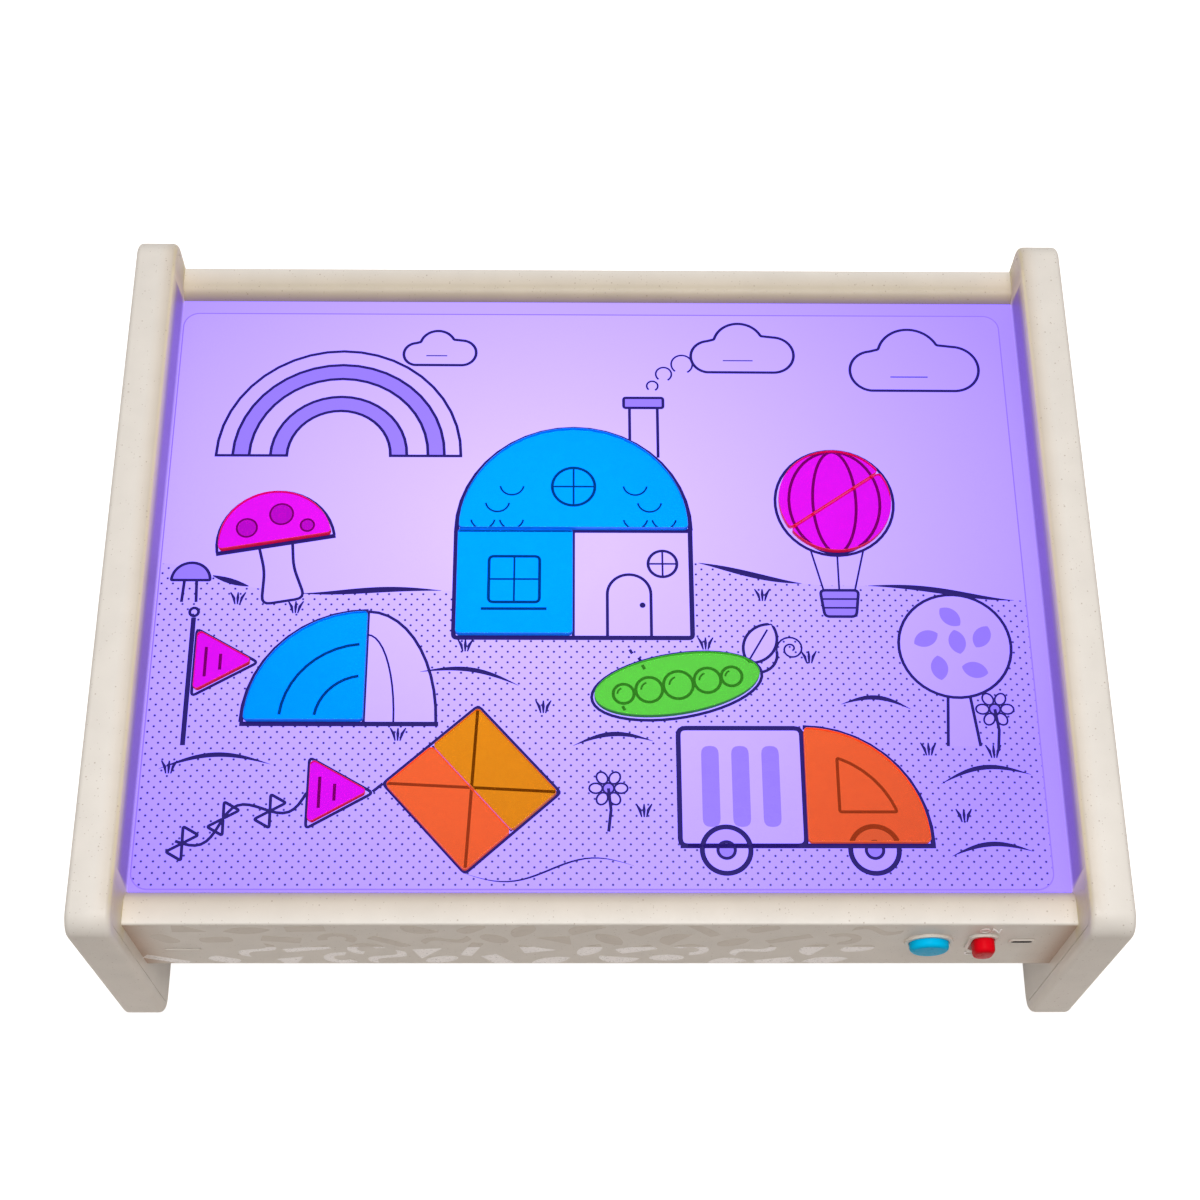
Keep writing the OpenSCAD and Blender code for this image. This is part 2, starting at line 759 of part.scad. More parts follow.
module colour_button() {
    cap_l = button_proud + wall + flange_gap;
    stem_l = board_off - flange_gap - flange_t - tact_h - plunger_out;
    color(blue)
        into_wall(button_x, y_front - button_proud, control_z) {
            rotate_extrude() {
                translate([0, button_edge_r]) square([button_r, cap_l - button_edge_r + eps]);
                square([button_r - button_edge_r, cap_l]);
                translate([button_r - button_edge_r, button_edge_r]) circle_quarter(button_edge_r);
            }
            translate([0, 0, cap_l]) cylinder(r = button_r + flange_lap, h = flange_t);
            translate([0, 0, cap_l + flange_t - eps]) cylinder(r = stem_r, h = stem_l + eps);
        }
}

// The quarter of a circle that rounds an outer edge below its middle
module circle_quarter(r) {
    intersection() {
        circle(r);
        translate([0, -r]) square(r);
    }
}

module power_knob() {
    stem_l = board_off - flange_gap - flange_t - switch_size[2] + knob_stem_in;
    body_l = knob_proud + wall + flange_gap;
    neck_inset = 0.1;
    color(red)
        into_wall(knob_x, y_front - knob_proud, knob_z) {
            hull()
                for (sx = [-1, 1], sz = [-1, 1])
                    translate([sx * (knob_w / 2 - knob_corner_r), sz * (knob_h / 2 - knob_corner_r), 0])
                        soft_disc(knob_corner_r, knob_proud + wall, knob_edge_r);
            translate([0, 0, knob_proud])
                linear_extrude(body_l - knob_proud + eps)
                    rounded_rect(knob_w - 2 * neck_inset, knob_h - 2 * neck_inset, knob_corner_r);
            translate([-shield_w / 2, -shield_h / 2, body_l]) cube([shield_w, shield_h, flange_t]);
            translate([-knob_stem[0] / 2, -knob_stem[1] / 2, body_l + flange_t - eps])
                cube([knob_stem[0], knob_stem[1], stem_l + eps]);
        }
}

module slide_switch() {
    slot = [knob_stem[0] + 2 * slide_gap, knob_stem[1] + knob_travel + 2 * slide_gap];
    color(steel)
        into_wall(knob_x, board_front - switch_size[2], slot_z)
            difference() {
                translate([-switch_size[0] / 2, -switch_size[1] / 2, 0]) cube(switch_size);
                translate([-slot[0] / 2, -slot[1] / 2, -1])
                    cube([slot[0], slot[1], switch_slot_depth + 1]);
            }
}

module power_inlet() {
    depth = board_off - flange_gap;
    outer = [inlet_w + 2 * inlet_shell, inlet_h + 2 * inlet_shell];
    color(steel)
        into_wall(inlet_x, y_inside + flange_gap, control_z)
            difference() {
                linear_extrude(depth) rounded_rect(outer[0], outer[1], inlet_h / 2);
                translate([0, 0, -1])
                    linear_extrude(inlet_depth + 1) rounded_rect(inlet_w, inlet_h, inlet_h / 2 - eps);
            }
}

module inlet_tongue() {
    color(black)
        into_wall(inlet_x, y_inside + flange_gap + inlet_depth - tongue[2], control_z)
            translate([-tongue[0] / 2, -tongue[1] / 2, 0]) cube(tongue);
}

// Battery bay
module tab_pockets() {
    for (side = [-1, 1])
        block([side * tab_x - tab_w / 2 - door_gap, bay_y + bay_w / 2 + box_wall, base_top - 1],
              [side * tab_x + tab_w / 2 + door_gap, door_back + tab_reach + 2 * door_gap,
               base_top + box_flange_t + 1]);
}

module battery_box() {
    color(black)
        difference() {
            union() {
                translate([0, bay_y, base_top])
                    linear_extrude(bay_h + box_wall)
                        square([bay_l + 2 * box_wall, bay_w + 2 * box_wall], center = true);
                translate([0, bay_y, base_top])
                    linear_extrude(box_flange_t)
                        square([door_l + 2 * flange_w, door_w + 2 * flange_w], center = true);
                translate([0, door_screw_y, base_top]) cylinder(r = nut_boss_r, h = nut_boss_h);
                translate([0, door_screw_y + nut_boss_r, base_top + box_flange_t / 2])
                    cube([2 * nut_boss_r, 2 * nut_boss_r, box_flange_t], center = true);
            }
            translate([0, bay_y, base_top - 1])
                linear_extrude(bay_h + 1)
                    square([bay_l, bay_w], center = true);
            tab_pockets();
            translate([0, door_screw_y, base_top - 1]) {
                cylinder(r = nut_r + pilot_gap, h = nut_t + 1);
                cylinder(r = nut_well_r, h = nut_boss_h - 1);
            }
            for (sx = [-1, 1], sy = [-1, 1])
                translate([sx * stake_x, bay_y + sy * stake_y, base_top - 1])
                    cylinder(r = stake_r + fit_gap, h = box_flange_t + 2);
        }
}

module battery_cells() {
    tip_r = 2.7;
    tip_l = 1.4;
    tip_gap = 0.1;
    row = cell_r + cell_gap / 2;
    color([0.2, 0.24, 0.3])
        for (side = [-1, 1], k = [0, 1])
            translate([side * (k * cell_l - cell_l), bay_y + side * row, cell_z])
                rotate([0, side * 90, 0]) {
                    cylinder(r = cell_r, h = cell_l - tip_l);
                    translate([0, 0, cell_l - tip_l - eps]) cylinder(r = tip_r, h = tip_l + eps - tip_gap);
                }
}

// At each end of a row: a flat plate on the box's wall, and a leaf that meets the cells
module battery_contacts() {
    leaf_w = 5;
    color(steel)
        for (end = [-1, 1], row = [-1, 1])
            translate([0, bay_y + row * (cell_r + cell_gap / 2), cell_z])
                mirror([end < 0 ? 1 : 0, 0, 0]) {
                    block([bay_l / 2 - contact_t, -contact_side / 2, -contact_side / 2],
                          [bay_l / 2, contact_side / 2, contact_side / 2]);
                    translate([bay_l / 2, leaf_w / 2, 0])
                        rotate([90, 0, 0])
                            linear_extrude(leaf_w)
                                polygon([[-contact_t, 4], [-contact_room, 1], [-contact_room, -1],
                                         [-contact_t, -4], [-contact_t, -3],
                                         [-contact_room + contact_t, 0], [-contact_t, 3]]);
                }
}

module battery_door() {
    color(cream)
        difference() {
            union() {
                translate([0, 0, body_z]) linear_extrude(door_t) door_outline(0);
                for (side = [-1, 1])
                    translate([side * tab_x - tab_w / 2, door_back, body_z]) {
                        translate([0, -tab_root, 0]) cube([tab_w, tab_root, base_t + tab_gap + tab_t]);
                        translate([0, -tab_root, base_t + tab_gap])
                            cube([tab_w, tab_root + tab_reach, tab_t]);
                    }
            }
            translate([0, door_screw_y, body_z - 1]) {
                cylinder(r = door_screw_r + fit_gap, h = door_t + 2);
                cylinder(r = door_screw_head_r + fit_gap, h = door_screw_head_h + 1);
            }
        }
}

module battery_door_screw() {
    color(steel)
        translate([0, door_screw_y, body_z + door_screw_head_h])
            screw(base_t - door_screw_head_h + door_screw_tip, door_screw_r,
                  door_screw_head_r, door_screw_head_h);
}

module battery_nut_plate() {
    color(steel)
        translate([0, door_screw_y, base_top])
            difference() {
                cylinder(r = nut_r, h = nut_t);
                translate([0, 0, -1]) cylinder(r = nut_hole_r, h = nut_t + 2);
            }
}

// Leads: from the battery box's end to the board's back, and from there to the LED board
module battery_leads() {
    box_end = bay_l / 2 + box_wall;
    run_z = base_top + 8;
    color(red)
        for (k = [0, 1])
            let (y0 = bay_y - 6 + 12 * k, x1 = box_end + 14 + 6 * k, x2 = board_left + 12 + 6 * k)
                lead([[box_end, y0, run_z], [box_end + 5, y0, run_z], [x1 - 2, y0 - 2, run_z],
                      [x1, y0 - 6, run_z], [x1 + 1, y0 - 20, run_z], [x2 - 2, board_front + 40, run_z],
                      [x2, board_front + 26, run_z + 1], [x2, board_front + 14, board_low + 5],
                      [x2, board_front + 8, board_low + 6],
                      [x2, board_front + board_t, board_low + 6]], lead_r);
}

module led_leads() {
    run_z = tray_z - 6;
    x0 = board_right - led_lead_inset;
    color(black)
        for (k = [-1, 1])
            let (x1 = x0 + 2 * k, x2 = lead_hole[0] + 1.5 * k, y2 = lead_hole[1])
                lead([[x1, board_front + board_t, board_low + 6], [x1, board_front + 8, board_low + 6],
                      [x1, board_front + 14, board_low + 5], [x1, board_front + 20, run_z],
                      [x2, y2 - 10, run_z], [x2, y2 - 4, run_z + 0.5], [x2, y2 - 1, run_z + 2],
                      [x2, y2, run_z + 4.5], [x2, y2, strip_z]], lead_r);
}

// Card and tiles
module on_card(z) {
    translate([card_x, card_y, z]) rotate(card_turn) children();
}

module picture_card() {
    color(glow)
        on_card(plate_z) linear_extrude(card_t) rounded_rect(card_w, card_d, card_corner_r);
}

module half_disc(r) {
    intersection() {
        circle(r);
        translate([-r, 0]) square([2 * r, r]);
    }
}

module tile_shape(shape) {
    tri_h = triangle_side * sqrt(3) / 2;
    if (shape == "large_half_disc") half_disc(tile_unit);
    if (shape == "half_disc") half_disc(half_disc_dia / 2);
    if (shape == "quarter_disc") intersection() {
        circle(tile_unit);
        square(tile_unit);
    }
    if (shape == "square") square(tile_unit, center = true);
    if (shape == "bar") square([tile_unit, tile_unit / 2], center = true);
    if (shape == "triangle")
        polygon([[-tri_h / 3, -triangle_side / 2], [2 * tri_h / 3, 0], [-tri_h / 3, triangle_side / 2]]);
    if (shape == "ellipse") scale([ellipse_l / ellipse_w, 1]) circle(d = ellipse_w);
}

module tile(t) {
    color(t[2])
        on_card(plate_z + card_t)
            translate(t[3])
                rotate(t[4])
                    linear_extrude(tile_t)
                        offset(tile_corner_r)
                            offset(delta = -tile_corner_r)
                                tile_shape(t[1]);
}

left_panel_shell();
right_panel_shell();
left_panel_cover();
right_panel_cover();
panel_screws();
foot_pads();
body_frame();
bottom_cover();
bottom_cover_screws();
diffuser_plate();
reflector_tray();
led_board();
leds();
control_board();
board_screws();
button_switch();
button_plunger();
slide_switch();
power_inlet();
inlet_tongue();
colour_button();
power_knob();
battery_box();
battery_cells();
battery_contacts();
battery_door();
battery_door_screw();
battery_nut_plate();
battery_leads();
led_leads();
picture_card();
for (t = TILES)
    tile(t);
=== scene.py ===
# %% [markdown]
# # A light table for shapes and pictures
# The object is a low table for a child: two side panels carry a hollow body, a violet lit plate
# lies between its rails, a printed card lies on the plate, and twelve clear tiles lie on the card.
# The imported CAD model gives every solid its place, so this lesson starts by loading it and only
# adds softness, finishes and print.

# %% Load the frame
import math
import random

import bmesh
import bpy
from mathutils import Matrix, Vector


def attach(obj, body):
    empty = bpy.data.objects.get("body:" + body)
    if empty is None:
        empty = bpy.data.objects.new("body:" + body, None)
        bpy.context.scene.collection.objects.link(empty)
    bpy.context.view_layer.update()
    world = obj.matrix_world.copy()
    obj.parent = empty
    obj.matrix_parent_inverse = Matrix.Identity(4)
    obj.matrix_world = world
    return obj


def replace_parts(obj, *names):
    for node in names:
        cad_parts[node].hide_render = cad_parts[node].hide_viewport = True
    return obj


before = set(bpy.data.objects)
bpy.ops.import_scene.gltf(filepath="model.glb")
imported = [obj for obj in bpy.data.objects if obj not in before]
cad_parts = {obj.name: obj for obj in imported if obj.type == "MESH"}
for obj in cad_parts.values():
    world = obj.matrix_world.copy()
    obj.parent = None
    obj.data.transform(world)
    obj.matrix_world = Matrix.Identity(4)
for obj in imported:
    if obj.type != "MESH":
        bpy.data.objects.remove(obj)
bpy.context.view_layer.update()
MM = 0.001
scene = bpy.context.scene
scene.view_settings.view_transform = "Standard"

# %% [markdown]
# ## Camera
# The picture looks down steeply on the table from the front, with a slight roll. A camera can be
# aimed with a tracking constraint, but a fixed place and three angles give the same frame on each
# run, so the camera's axes are worked out from azimuth, elevation and roll.

# %% Camera
IMAGE_SIDE = 1200
FOCAL_PIXELS = 2074.6
EYE = Vector((-11.26, -373.17, 874.64)) * MM
AZIMUTH = math.radians(-1.774)
ELEVATION = math.radians(64.642)
ROLL = math.radians(1.728)

level_right = Vector((math.cos(AZIMUTH), math.sin(AZIMUTH), 0))
backwards = Vector((math.sin(AZIMUTH) * math.cos(ELEVATION),
                    -math.cos(AZIMUTH) * math.cos(ELEVATION), math.sin(ELEVATION)))
level_up = backwards.cross(level_right)
right = math.cos(ROLL) * level_right + math.sin(ROLL) * level_up
up = math.cos(ROLL) * level_up - math.sin(ROLL) * level_right

lens = bpy.data.cameras.new("camera")
lens.sensor_width = 36
lens.lens = lens.sensor_width * FOCAL_PIXELS / IMAGE_SIDE
camera = bpy.data.objects.new("camera", lens)
camera.matrix_world = Matrix.Translation(EYE) @ Matrix((right, up, backwards)).transposed().to_4x4()
scene.collection.objects.link(camera)
scene.camera = camera
print(f"camera lens {lens.lens:.1f} mm, {EYE.length:.2f} m from the table's middle")

# %% [markdown]
# ## Node helpers
# A finish is a small tree of nodes behind one Principled shader. Writing every node out by hand
# makes long cells, so a few helpers add a node with its inputs, work out sums and join sockets.
# Colours are easier to read as the eight-bit values of a screen, so one more helper turns those
# into linear light.

# %% Node helpers
def tone(red, green, blue):
    """Linear colour of an eight-bit screen colour."""
    parts = [value / 255 for value in (red, green, blue)]
    return tuple(p / 12.92 if p <= 0.04045 else ((p + 0.055) / 1.055) ** 2.4 for p in parts)


def new_finish(name, colour, roughness, **sockets):
    """A material with one Principled shader, and that shader."""
    finish = bpy.data.materials.new(name)
    finish.use_nodes = True
    shader = finish.node_tree.nodes["Principled BSDF"]
    shader.inputs["Base Color"].default_value = (*colour, 1)
    shader.inputs["Roughness"].default_value = roughness
    for socket, value in sockets.items():
        shader.inputs[socket.replace("_", " ")].default_value = value
    return finish, shader


def add_node(finish, kind, inputs=None, **settings):
    """A node of that kind in the finish, with settings and input values or links."""
    node = finish.node_tree.nodes.new(kind)
    for name, value in settings.items():
        setattr(node, name, value)
    for key, value in (inputs or {}).items():
        if isinstance(value, bpy.types.NodeSocket):
            finish.node_tree.links.new(value, node.inputs[key])
        else:
            node.inputs[key].default_value = value
    return node


def connect(finish, socket, shader, name):
    """Links a socket to one of the shader's inputs."""
    finish.node_tree.links.new(socket, shader.inputs[name])


def place_of(finish):
    """The socket that gives each point's place on the object, in metres."""
    return add_node(finish, "ShaderNodeTexCoord").outputs["Object"]


def part_of(finish, axis):
    """The socket of one coordinate, X, Y or Z."""
    return add_node(finish, "ShaderNodeSeparateXYZ", {0: place_of(finish)}).outputs[axis]


def sums(finish, operation, first, second=0.0):
    """The socket of a sum worked out on two values."""
    return add_node(finish, "ShaderNodeMath", {0: first, 1: second}, operation=operation).outputs[0]


def vectors(finish, operation, first, second=(0, 0, 0)):
    """The node of a sum worked out on two vectors."""
    return add_node(finish, "ShaderNodeVectorMath", {0: first, 1: second}, operation=operation)


def mixed(finish, factor, first, second, blend="MIX"):
    """first where factor is 0, second, or the two blended, where it is 1."""
    node = add_node(finish, "ShaderNodeMix", {0: factor, 6: first, 7: second},
                    data_type="RGBA", blend_type=blend)
    return node.outputs[2]


def ramp(finish, factor, *stops):
    """A colour ramp over factor; each stop is (position, linear colour)."""
    node = add_node(finish, "ShaderNodeValToRGB", {"Fac": factor})
    while len(node.color_ramp.elements) < len(stops):
        node.color_ramp.elements.new(0.5)
    for element, (position, colour) in zip(node.color_ramp.elements, stops):
        element.position = position
        element.color = (*colour, 1)
    return node.outputs["Color"]


def span(finish, value, low, high, to_low, to_high):
    """value mapped from low..high to to_low..to_high, and held at the ends."""
    return add_node(finish, "ShaderNodeMapRange",
                    {0: value, 1: low, 2: high, 3: to_low, 4: to_high}).outputs[0]


def shade(colour, factor):
    """A colour made darker or lighter by a factor."""
    return tuple(min(1, part * factor) for part in colour)


print("node helpers ready")

# %% [markdown]
# ## Floor and light
# The table stands on a white sweep under a wide soft box that hangs nearly overhead, so tops are
# bright and upright walls fall into shade, lit mainly by the floor. The floor could be plain white
# paper, but paper goes grey where the light falls off. Here it glows white towards the camera only.

# %% Floor and light
FLOOR_SIDE = 8.0
FLOOR_BOUNCE = (0.58, 0.51, 0.45)
FLOOR_GLOW = 0.93
SKY_LEVEL = 0.16
SOFT_BOX_SIDE = 0.7
SOFT_BOX_POWER = 16.4
SOFT_BOX_PLACE = Vector((0.05, -0.14, 1.5))


def seen_directly(finish):
    """A socket that is 1 for rays from the camera and for reflections and glass."""
    path = add_node(finish, "ShaderNodeLightPath")
    seen = path.outputs["Is Camera Ray"]
    for name in ("Is Glossy Ray", "Is Transmission Ray"):
        seen = sums(finish, "MAXIMUM", seen, path.outputs[name])
    return seen


paper, paper_shader = new_finish("paper_floor", FLOOR_BOUNCE, 0.9)
paper_shader.inputs["Emission Color"].default_value = (1, 1, 1, 1)
floor_glow = sums(paper, "MULTIPLY", seen_directly(paper), FLOOR_GLOW)
connect(paper, floor_glow, paper_shader, "Emission Strength")

floor_shape = bmesh.new()
bmesh.ops.create_grid(floor_shape, x_segments=1, y_segments=1, size=FLOOR_SIDE / 2)
floor_mesh = bpy.data.meshes.new("floor")
floor_shape.to_mesh(floor_mesh)
floor_mesh.materials.append(paper)
floor = bpy.data.objects.new("floor", floor_mesh)
scene.collection.objects.link(floor)

sky = bpy.data.worlds.new("sky")
sky.use_nodes = True
scene.world = sky
backdrop = sky.node_tree.nodes["Background"]
connect(sky, span(sky, seen_directly(sky), 0, 1, SKY_LEVEL, 1), backdrop, "Strength")
backdrop.inputs["Color"].default_value = (1, 1, 1, 1)

soft_box = bpy.data.lights.new("soft_box", "AREA")
soft_box.size = SOFT_BOX_SIDE
soft_box.energy = SOFT_BOX_POWER
soft_box_object = bpy.data.objects.new("soft_box", soft_box)
soft_box_object.location = SOFT_BOX_PLACE
soft_box_object.rotation_euler = SOFT_BOX_PLACE.to_track_quat("Z", "Y").to_euler()
scene.collection.objects.link(soft_box_object)
print("floor, sky and one soft box")

# %% [markdown]
# ## Cream plastic
# The mouldings are a cream plastic filled with plant fibre. Close up it has pale mottling and
# small brown specks, and a slightly dull skin. Specks could be drawn one by one, but a Voronoi
# pattern on Object coordinates scatters them through the whole solid, so they also fit the rounded
# edges. Only some of its cells get a speck, or the pattern would look regular.

# %% Cream plastic
CREAM = tone(234, 226, 216)
SPECK = tone(150, 122, 96)
SPECKS = ((380, 0.15, 0.22), (850, 0.20, 0.22))
SPECK_FADE = 0.42
CREAM_SKIN = (900, 0.0001, 0.42, 0.56)
BUMP_STRENGTH = 0.25
NOISE_RANGE = (0.3, 0.7)


def add_skin(finish, shader, scale, depth, low_rough, high_rough):
    """Fine unevenness: a noise drives roughness and a shallow bump."""
    noise = add_node(finish, "ShaderNodeTexNoise",
                     {"Vector": place_of(finish), "Scale": scale, "Detail": 3.0})
    rough = span(finish, noise.outputs[0], *NOISE_RANGE, low_rough, high_rough)
    connect(finish, rough, shader, "Roughness")
    bump = add_node(finish, "ShaderNodeBump",
                    {"Height": noise.outputs[0], "Strength": BUMP_STRENGTH, "Distance": depth})
    connect(finish, bump.outputs[0], shader, "Normal")


def mottled(finish, shader, colour, scale, change):
    """Cloudy variation of a colour, linked to the shader, and its socket."""
    noise = add_node(finish, "ShaderNodeTexNoise",
                     {"Vector": place_of(finish), "Scale": scale, "Detail": 4.0})
    low, high = NOISE_RANGE
    cloudy = ramp(finish, noise.outputs[0], (low, shade(colour, 1 - change)),
                  (high, shade(colour, 1 + change)))
    connect(finish, cloudy, shader, "Base Color")
    return cloudy


def speck_mask(finish, cells_per_metre, size, share):
    """1 on small spots: in each chosen Voronoi cell, the middle up to that size."""
    cells = add_node(finish, "ShaderNodeTexVoronoi",
                     {"Vector": place_of(finish), "Scale": cells_per_metre})
    spot = span(finish, cells.outputs["Distance"], size * 0.7, size, 1, 0)
    pick = add_node(finish, "ShaderNodeSeparateColor", {0: cells.outputs["Color"]}).outputs[0]
    return sums(finish, "MULTIPLY", spot, sums(finish, "LESS_THAN", pick, share))


def speckled(finish, colour, cells_per_metre, size, share):
    """The colour with brown specks laid over it."""
    fade = sums(finish, "MULTIPLY", speck_mask(finish, cells_per_metre, size, share), SPECK_FADE)
    return mixed(finish, fade, colour, (*SPECK, 1))


def new_cream(name, tint=None, light=None):
    """Cream plastic with specks; tint(finish) is multiplied in as painted shade and light(finish)
    given off as painted light.
    """
    finish, shader = new_finish(name, CREAM, 0.45)
    colour = mottled(finish, shader, CREAM, 70, 0.03)
    for specks in SPECKS:
        colour = speckled(finish, colour, *specks)
    if tint:
        colour = mixed(finish, 1.0, colour, tint(finish), "MULTIPLY")
    connect(finish, colour, shader, "Base Color")
    if light:
        connect(finish, light(finish), shader, "Emission Color")
        shader.inputs["Emission Strength"].default_value = 1.0
    add_skin(finish, shader, *CREAM_SKIN)
    return finish


cream = new_cream("cream_fibre_plastic")
print("cream plastic with", len(SPECKS), "sizes of speck")

# %% [markdown]
# ### Rails beside the lit plate
# The rails' inner roundings turn away from the light and the wall corners lie in shade, so the
# rails carry painted shade: a tint that turns browner towards the plate, more on the back rail. The
# front and back walls also get painted shade, darkening to brown where they meet the panels.

# %% Rails beside the lit plate
WHITE = (1.0, 1.0, 1.0)
WELL_MIDDLE = 3.45 * MM
WELL_HALF = 135.25 * MM
RAIL_WIDTH = 14.4 * MM
RAIL_OUTSIDE = (0.93, 0.97)
FRONT_RAIL_SHADE = ((0.05, (0.62, 0.56, 0.50)), (0.25, (0.77, 0.72, 0.66)), (0.5, (0.88, 0.84, 0.80)),
              (0.75, (0.95, 0.93, 0.91)), (0.95, WHITE))
BACK_RAIL_SHADE = ((0.0, (0.47, 0.41, 0.25)), (0.2, (0.66, 0.60, 0.46)), (0.5, (0.86, 0.81, 0.73)),
             (0.95, WHITE))
CORNER_SHADE_REACH = (166 * MM, 182.8 * MM)
CORNER_SHADE_HEIGHT = (104.5 * MM, 105.5 * MM)
CORNER_SHADE = ((0.0, WHITE), (0.5, (0.90, 0.84, 0.80)), (1.0, (0.70, 0.54, 0.46)))


def from_middle(finish):
    """How far a point lies from the well's middle, to the front or back."""
    return sums(finish, "ABSOLUTE", sums(finish, "SUBTRACT", part_of(finish, "Y"), WELL_MIDDLE))


def rail_painted_shade(finish):
    """Painted shade: browner from a rail's edge to the plate, more on the back rail, and in wall
    corners.
    """
    across = span(finish, from_middle(finish), WELL_HALF, WELL_HALF + RAIL_WIDTH, 0, 1)
    at_back = span(finish, part_of(finish, "Y"), 0, MM, 0, 1)
    rails = mixed(finish, at_back, ramp(finish, across, *FRONT_RAIL_SHADE),
                  ramp(finish, across, *BACK_RAIL_SHADE))
    far_out = sums(finish, "ABSOLUTE", part_of(finish, "X"))
    # Painted shade where the front and back walls meet the panels.
    corner = ramp(finish, span(finish, far_out, *CORNER_SHADE_REACH, 0, 1), *CORNER_SHADE)
    below = span(finish, part_of(finish, "Z"), *CORNER_SHADE_HEIGHT, 1, 0)
    outside = span(finish, across, *RAIL_OUTSIDE, 0, 1)
    return mixed(finish, sums(finish, "MULTIPLY", below, outside), rails, corner)


# Rail cream carries painted shade towards the plate and in the wall corners.
rail_cream_shaded = new_cream("cream_rails_painted_shade", rail_painted_shade)
print("rails turn browner over", RAIL_WIDTH, "m")

# %% [markdown]
# ### Panels beside the lit plate
# The panels' inner faces catch the most light, and it is painted on: painted violet light low
# down, painted brown shade on the rounded edge and plain cream past the plate's ends. A tint can
# only darken what falls on it, so these faces also give off a little painted light, violet at the
# plate and cream high up.

# %% Panels beside the lit plate
BLACK = (0.0, 0.0, 0.0)
PANEL_INSIDE = 182.8 * MM
PANEL_TINT_END = 190.8 * MM
PANEL_ROUNDING = (0.02, 0.16)
PANEL_FACE_PAINTED_LIGHT = ((0.0, (0.50, 0.34, 0.66)), (0.3, (0.60, 0.48, 0.50)), (0.7, (0.90, 0.84, 0.54)),
              (1.0, (0.97, 0.92, 0.66)))
PANEL_EDGE_SHADE = ((0.05, (0.76, 0.70, 0.60)), (0.25, (0.86, 0.81, 0.75)), (0.6, (0.97, 0.95, 0.93)),
              (0.9, WHITE))
# Painted shade past the plate's ends.
PANEL_END_SHADE = (0.97, 0.90, 0.58, 1)
PLATE_HEIGHT = 101.5 * MM
PAINTED_LIGHT_FOOT = 4 * MM
PAINTED_LIGHT_FADE = (115 * MM, 126 * MM)
PAINTED_LIGHT_END = 3 * MM
PAINTED_LIGHT_DROP = 18 * MM
PAINTED_LIGHT_REACH = (WELL_HALF + 10 * MM, WELL_HALF + 22 * MM)
LIT_FOOT = 4 * MM
LIT_REACH = (WELL_HALF - 2 * MM, WELL_HALF + 3 * MM)
LIT_ROUNDING = (0.05, 0.2)
FOOT_LIGHT = ((0.0, (0.24, 0.19, 0.40)), (1.0, BLACK))
TOP_LIGHT = ((0.3, BLACK), (0.8, (0.10, 0.08, 0.03)))


def panel_zones(finish):
    """Across the panel's edge, up its inner face, 1 over and beside the plate, 1 past its ends."""
    far = sums(finish, "ABSOLUTE", part_of(finish, "X"))
    across = span(finish, far, PANEL_INSIDE, PANEL_TINT_END, 0, 1)
    along, z = from_middle(finish), part_of(finish, "Z")
    past = span(finish, along, WELL_HALF - PAINTED_LIGHT_END, WELL_HALF, 0, 1)
    drop = sums(finish, "MULTIPLY", past, PAINTED_LIGHT_DROP)
    upwards = span(finish, sums(finish, "ADD", z, drop), *PAINTED_LIGHT_FADE, 0, 1)
    above = span(finish, z, PLATE_HEIGHT - PAINTED_LIGHT_FOOT, PLATE_HEIGHT, 0, 1)
    beside = span(finish, along, *PAINTED_LIGHT_REACH, 1, 0)
    return across, upwards, sums(finish, "MULTIPLY", above, beside), past


def panel_painted_light_and_shade(finish):
    """Painted violet light low on a panel's inner face beside the plate, painted brown shade on its
    rounded edge.
    """
    across, upwards, above, past = panel_zones(finish)
    face = mixed(finish, past, ramp(finish, upwards, *PANEL_FACE_PAINTED_LIGHT), PANEL_END_SHADE)
    painted_light_and_shade = mixed(finish, span(finish, across, *PANEL_ROUNDING, 0, 1), face,
                  ramp(finish, across, *PANEL_EDGE_SHADE))
    return mixed(finish, above, (*WHITE, 1), painted_light_and_shade)


def panel_painted_glow(finish):
    """Painted light given off by a panel's inner face: violet by the plate, cream high up."""
    across, upwards, above, _ = panel_zones(finish)
    foot = span(finish, part_of(finish, "Z"), PLATE_HEIGHT, PLATE_HEIGHT + LIT_FOOT, 0, 1)
    light = mixed(finish, 1.0, ramp(finish, foot, *FOOT_LIGHT), ramp(finish, upwards, *TOP_LIGHT),
                  "ADD")
    beside = span(finish, from_middle(finish), *LIT_REACH, 1, 0)
    face = sums(finish, "MULTIPLY", beside, span(finish, across, *LIT_ROUNDING, 1, 0))
    return mixed(finish, sums(finish, "MULTIPLY", face, above), (*BLACK, 1), light)


# Panel cream carries painted violet light, painted brown shade and a painted glow.
panel_cream_painted = new_cream("cream_panels_painted_light", panel_painted_light_and_shade, panel_painted_glow)
print("panels given_painted_shade and lit up to", PAINTED_LIGHT_FADE[1], "m")

# %% [markdown]
# ## Mouldings with soft edges
# A real moulding has no knife edge: every corner has a small radius that catches the light. The
# CAD solids already have the large roundings. A copy of each is merged, its flat triangles are
# joined to whole faces, and a Bevel modifier rounds the edges that are still sharp. That keeps the
# solid's true size, which modelling it afresh might not.

# %% Mouldings with soft edges
SMOOTH_ANGLE = math.radians(32)
FLAT_ANGLE = math.radians(0.5)
MERGE_DISTANCE = 0.002 * MM


def link_piece(name, mesh, body, finish):
    """A new piece of the object on a body and finish."""
    piece = bpy.data.objects.new(name, mesh)
    scene.collection.objects.link(piece)
    mesh.materials.clear()
    mesh.materials.append(finish)
    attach(piece, body)
    return piece


def smooth_faces(mesh):
    """Smooth shading that breaks at edges sharper than SMOOTH_ANGLE."""
    mesh.polygons.foreach_set("use_smooth", [True] * len(mesh.polygons))
    mesh.set_sharp_from_angle(angle=SMOOTH_ANGLE)


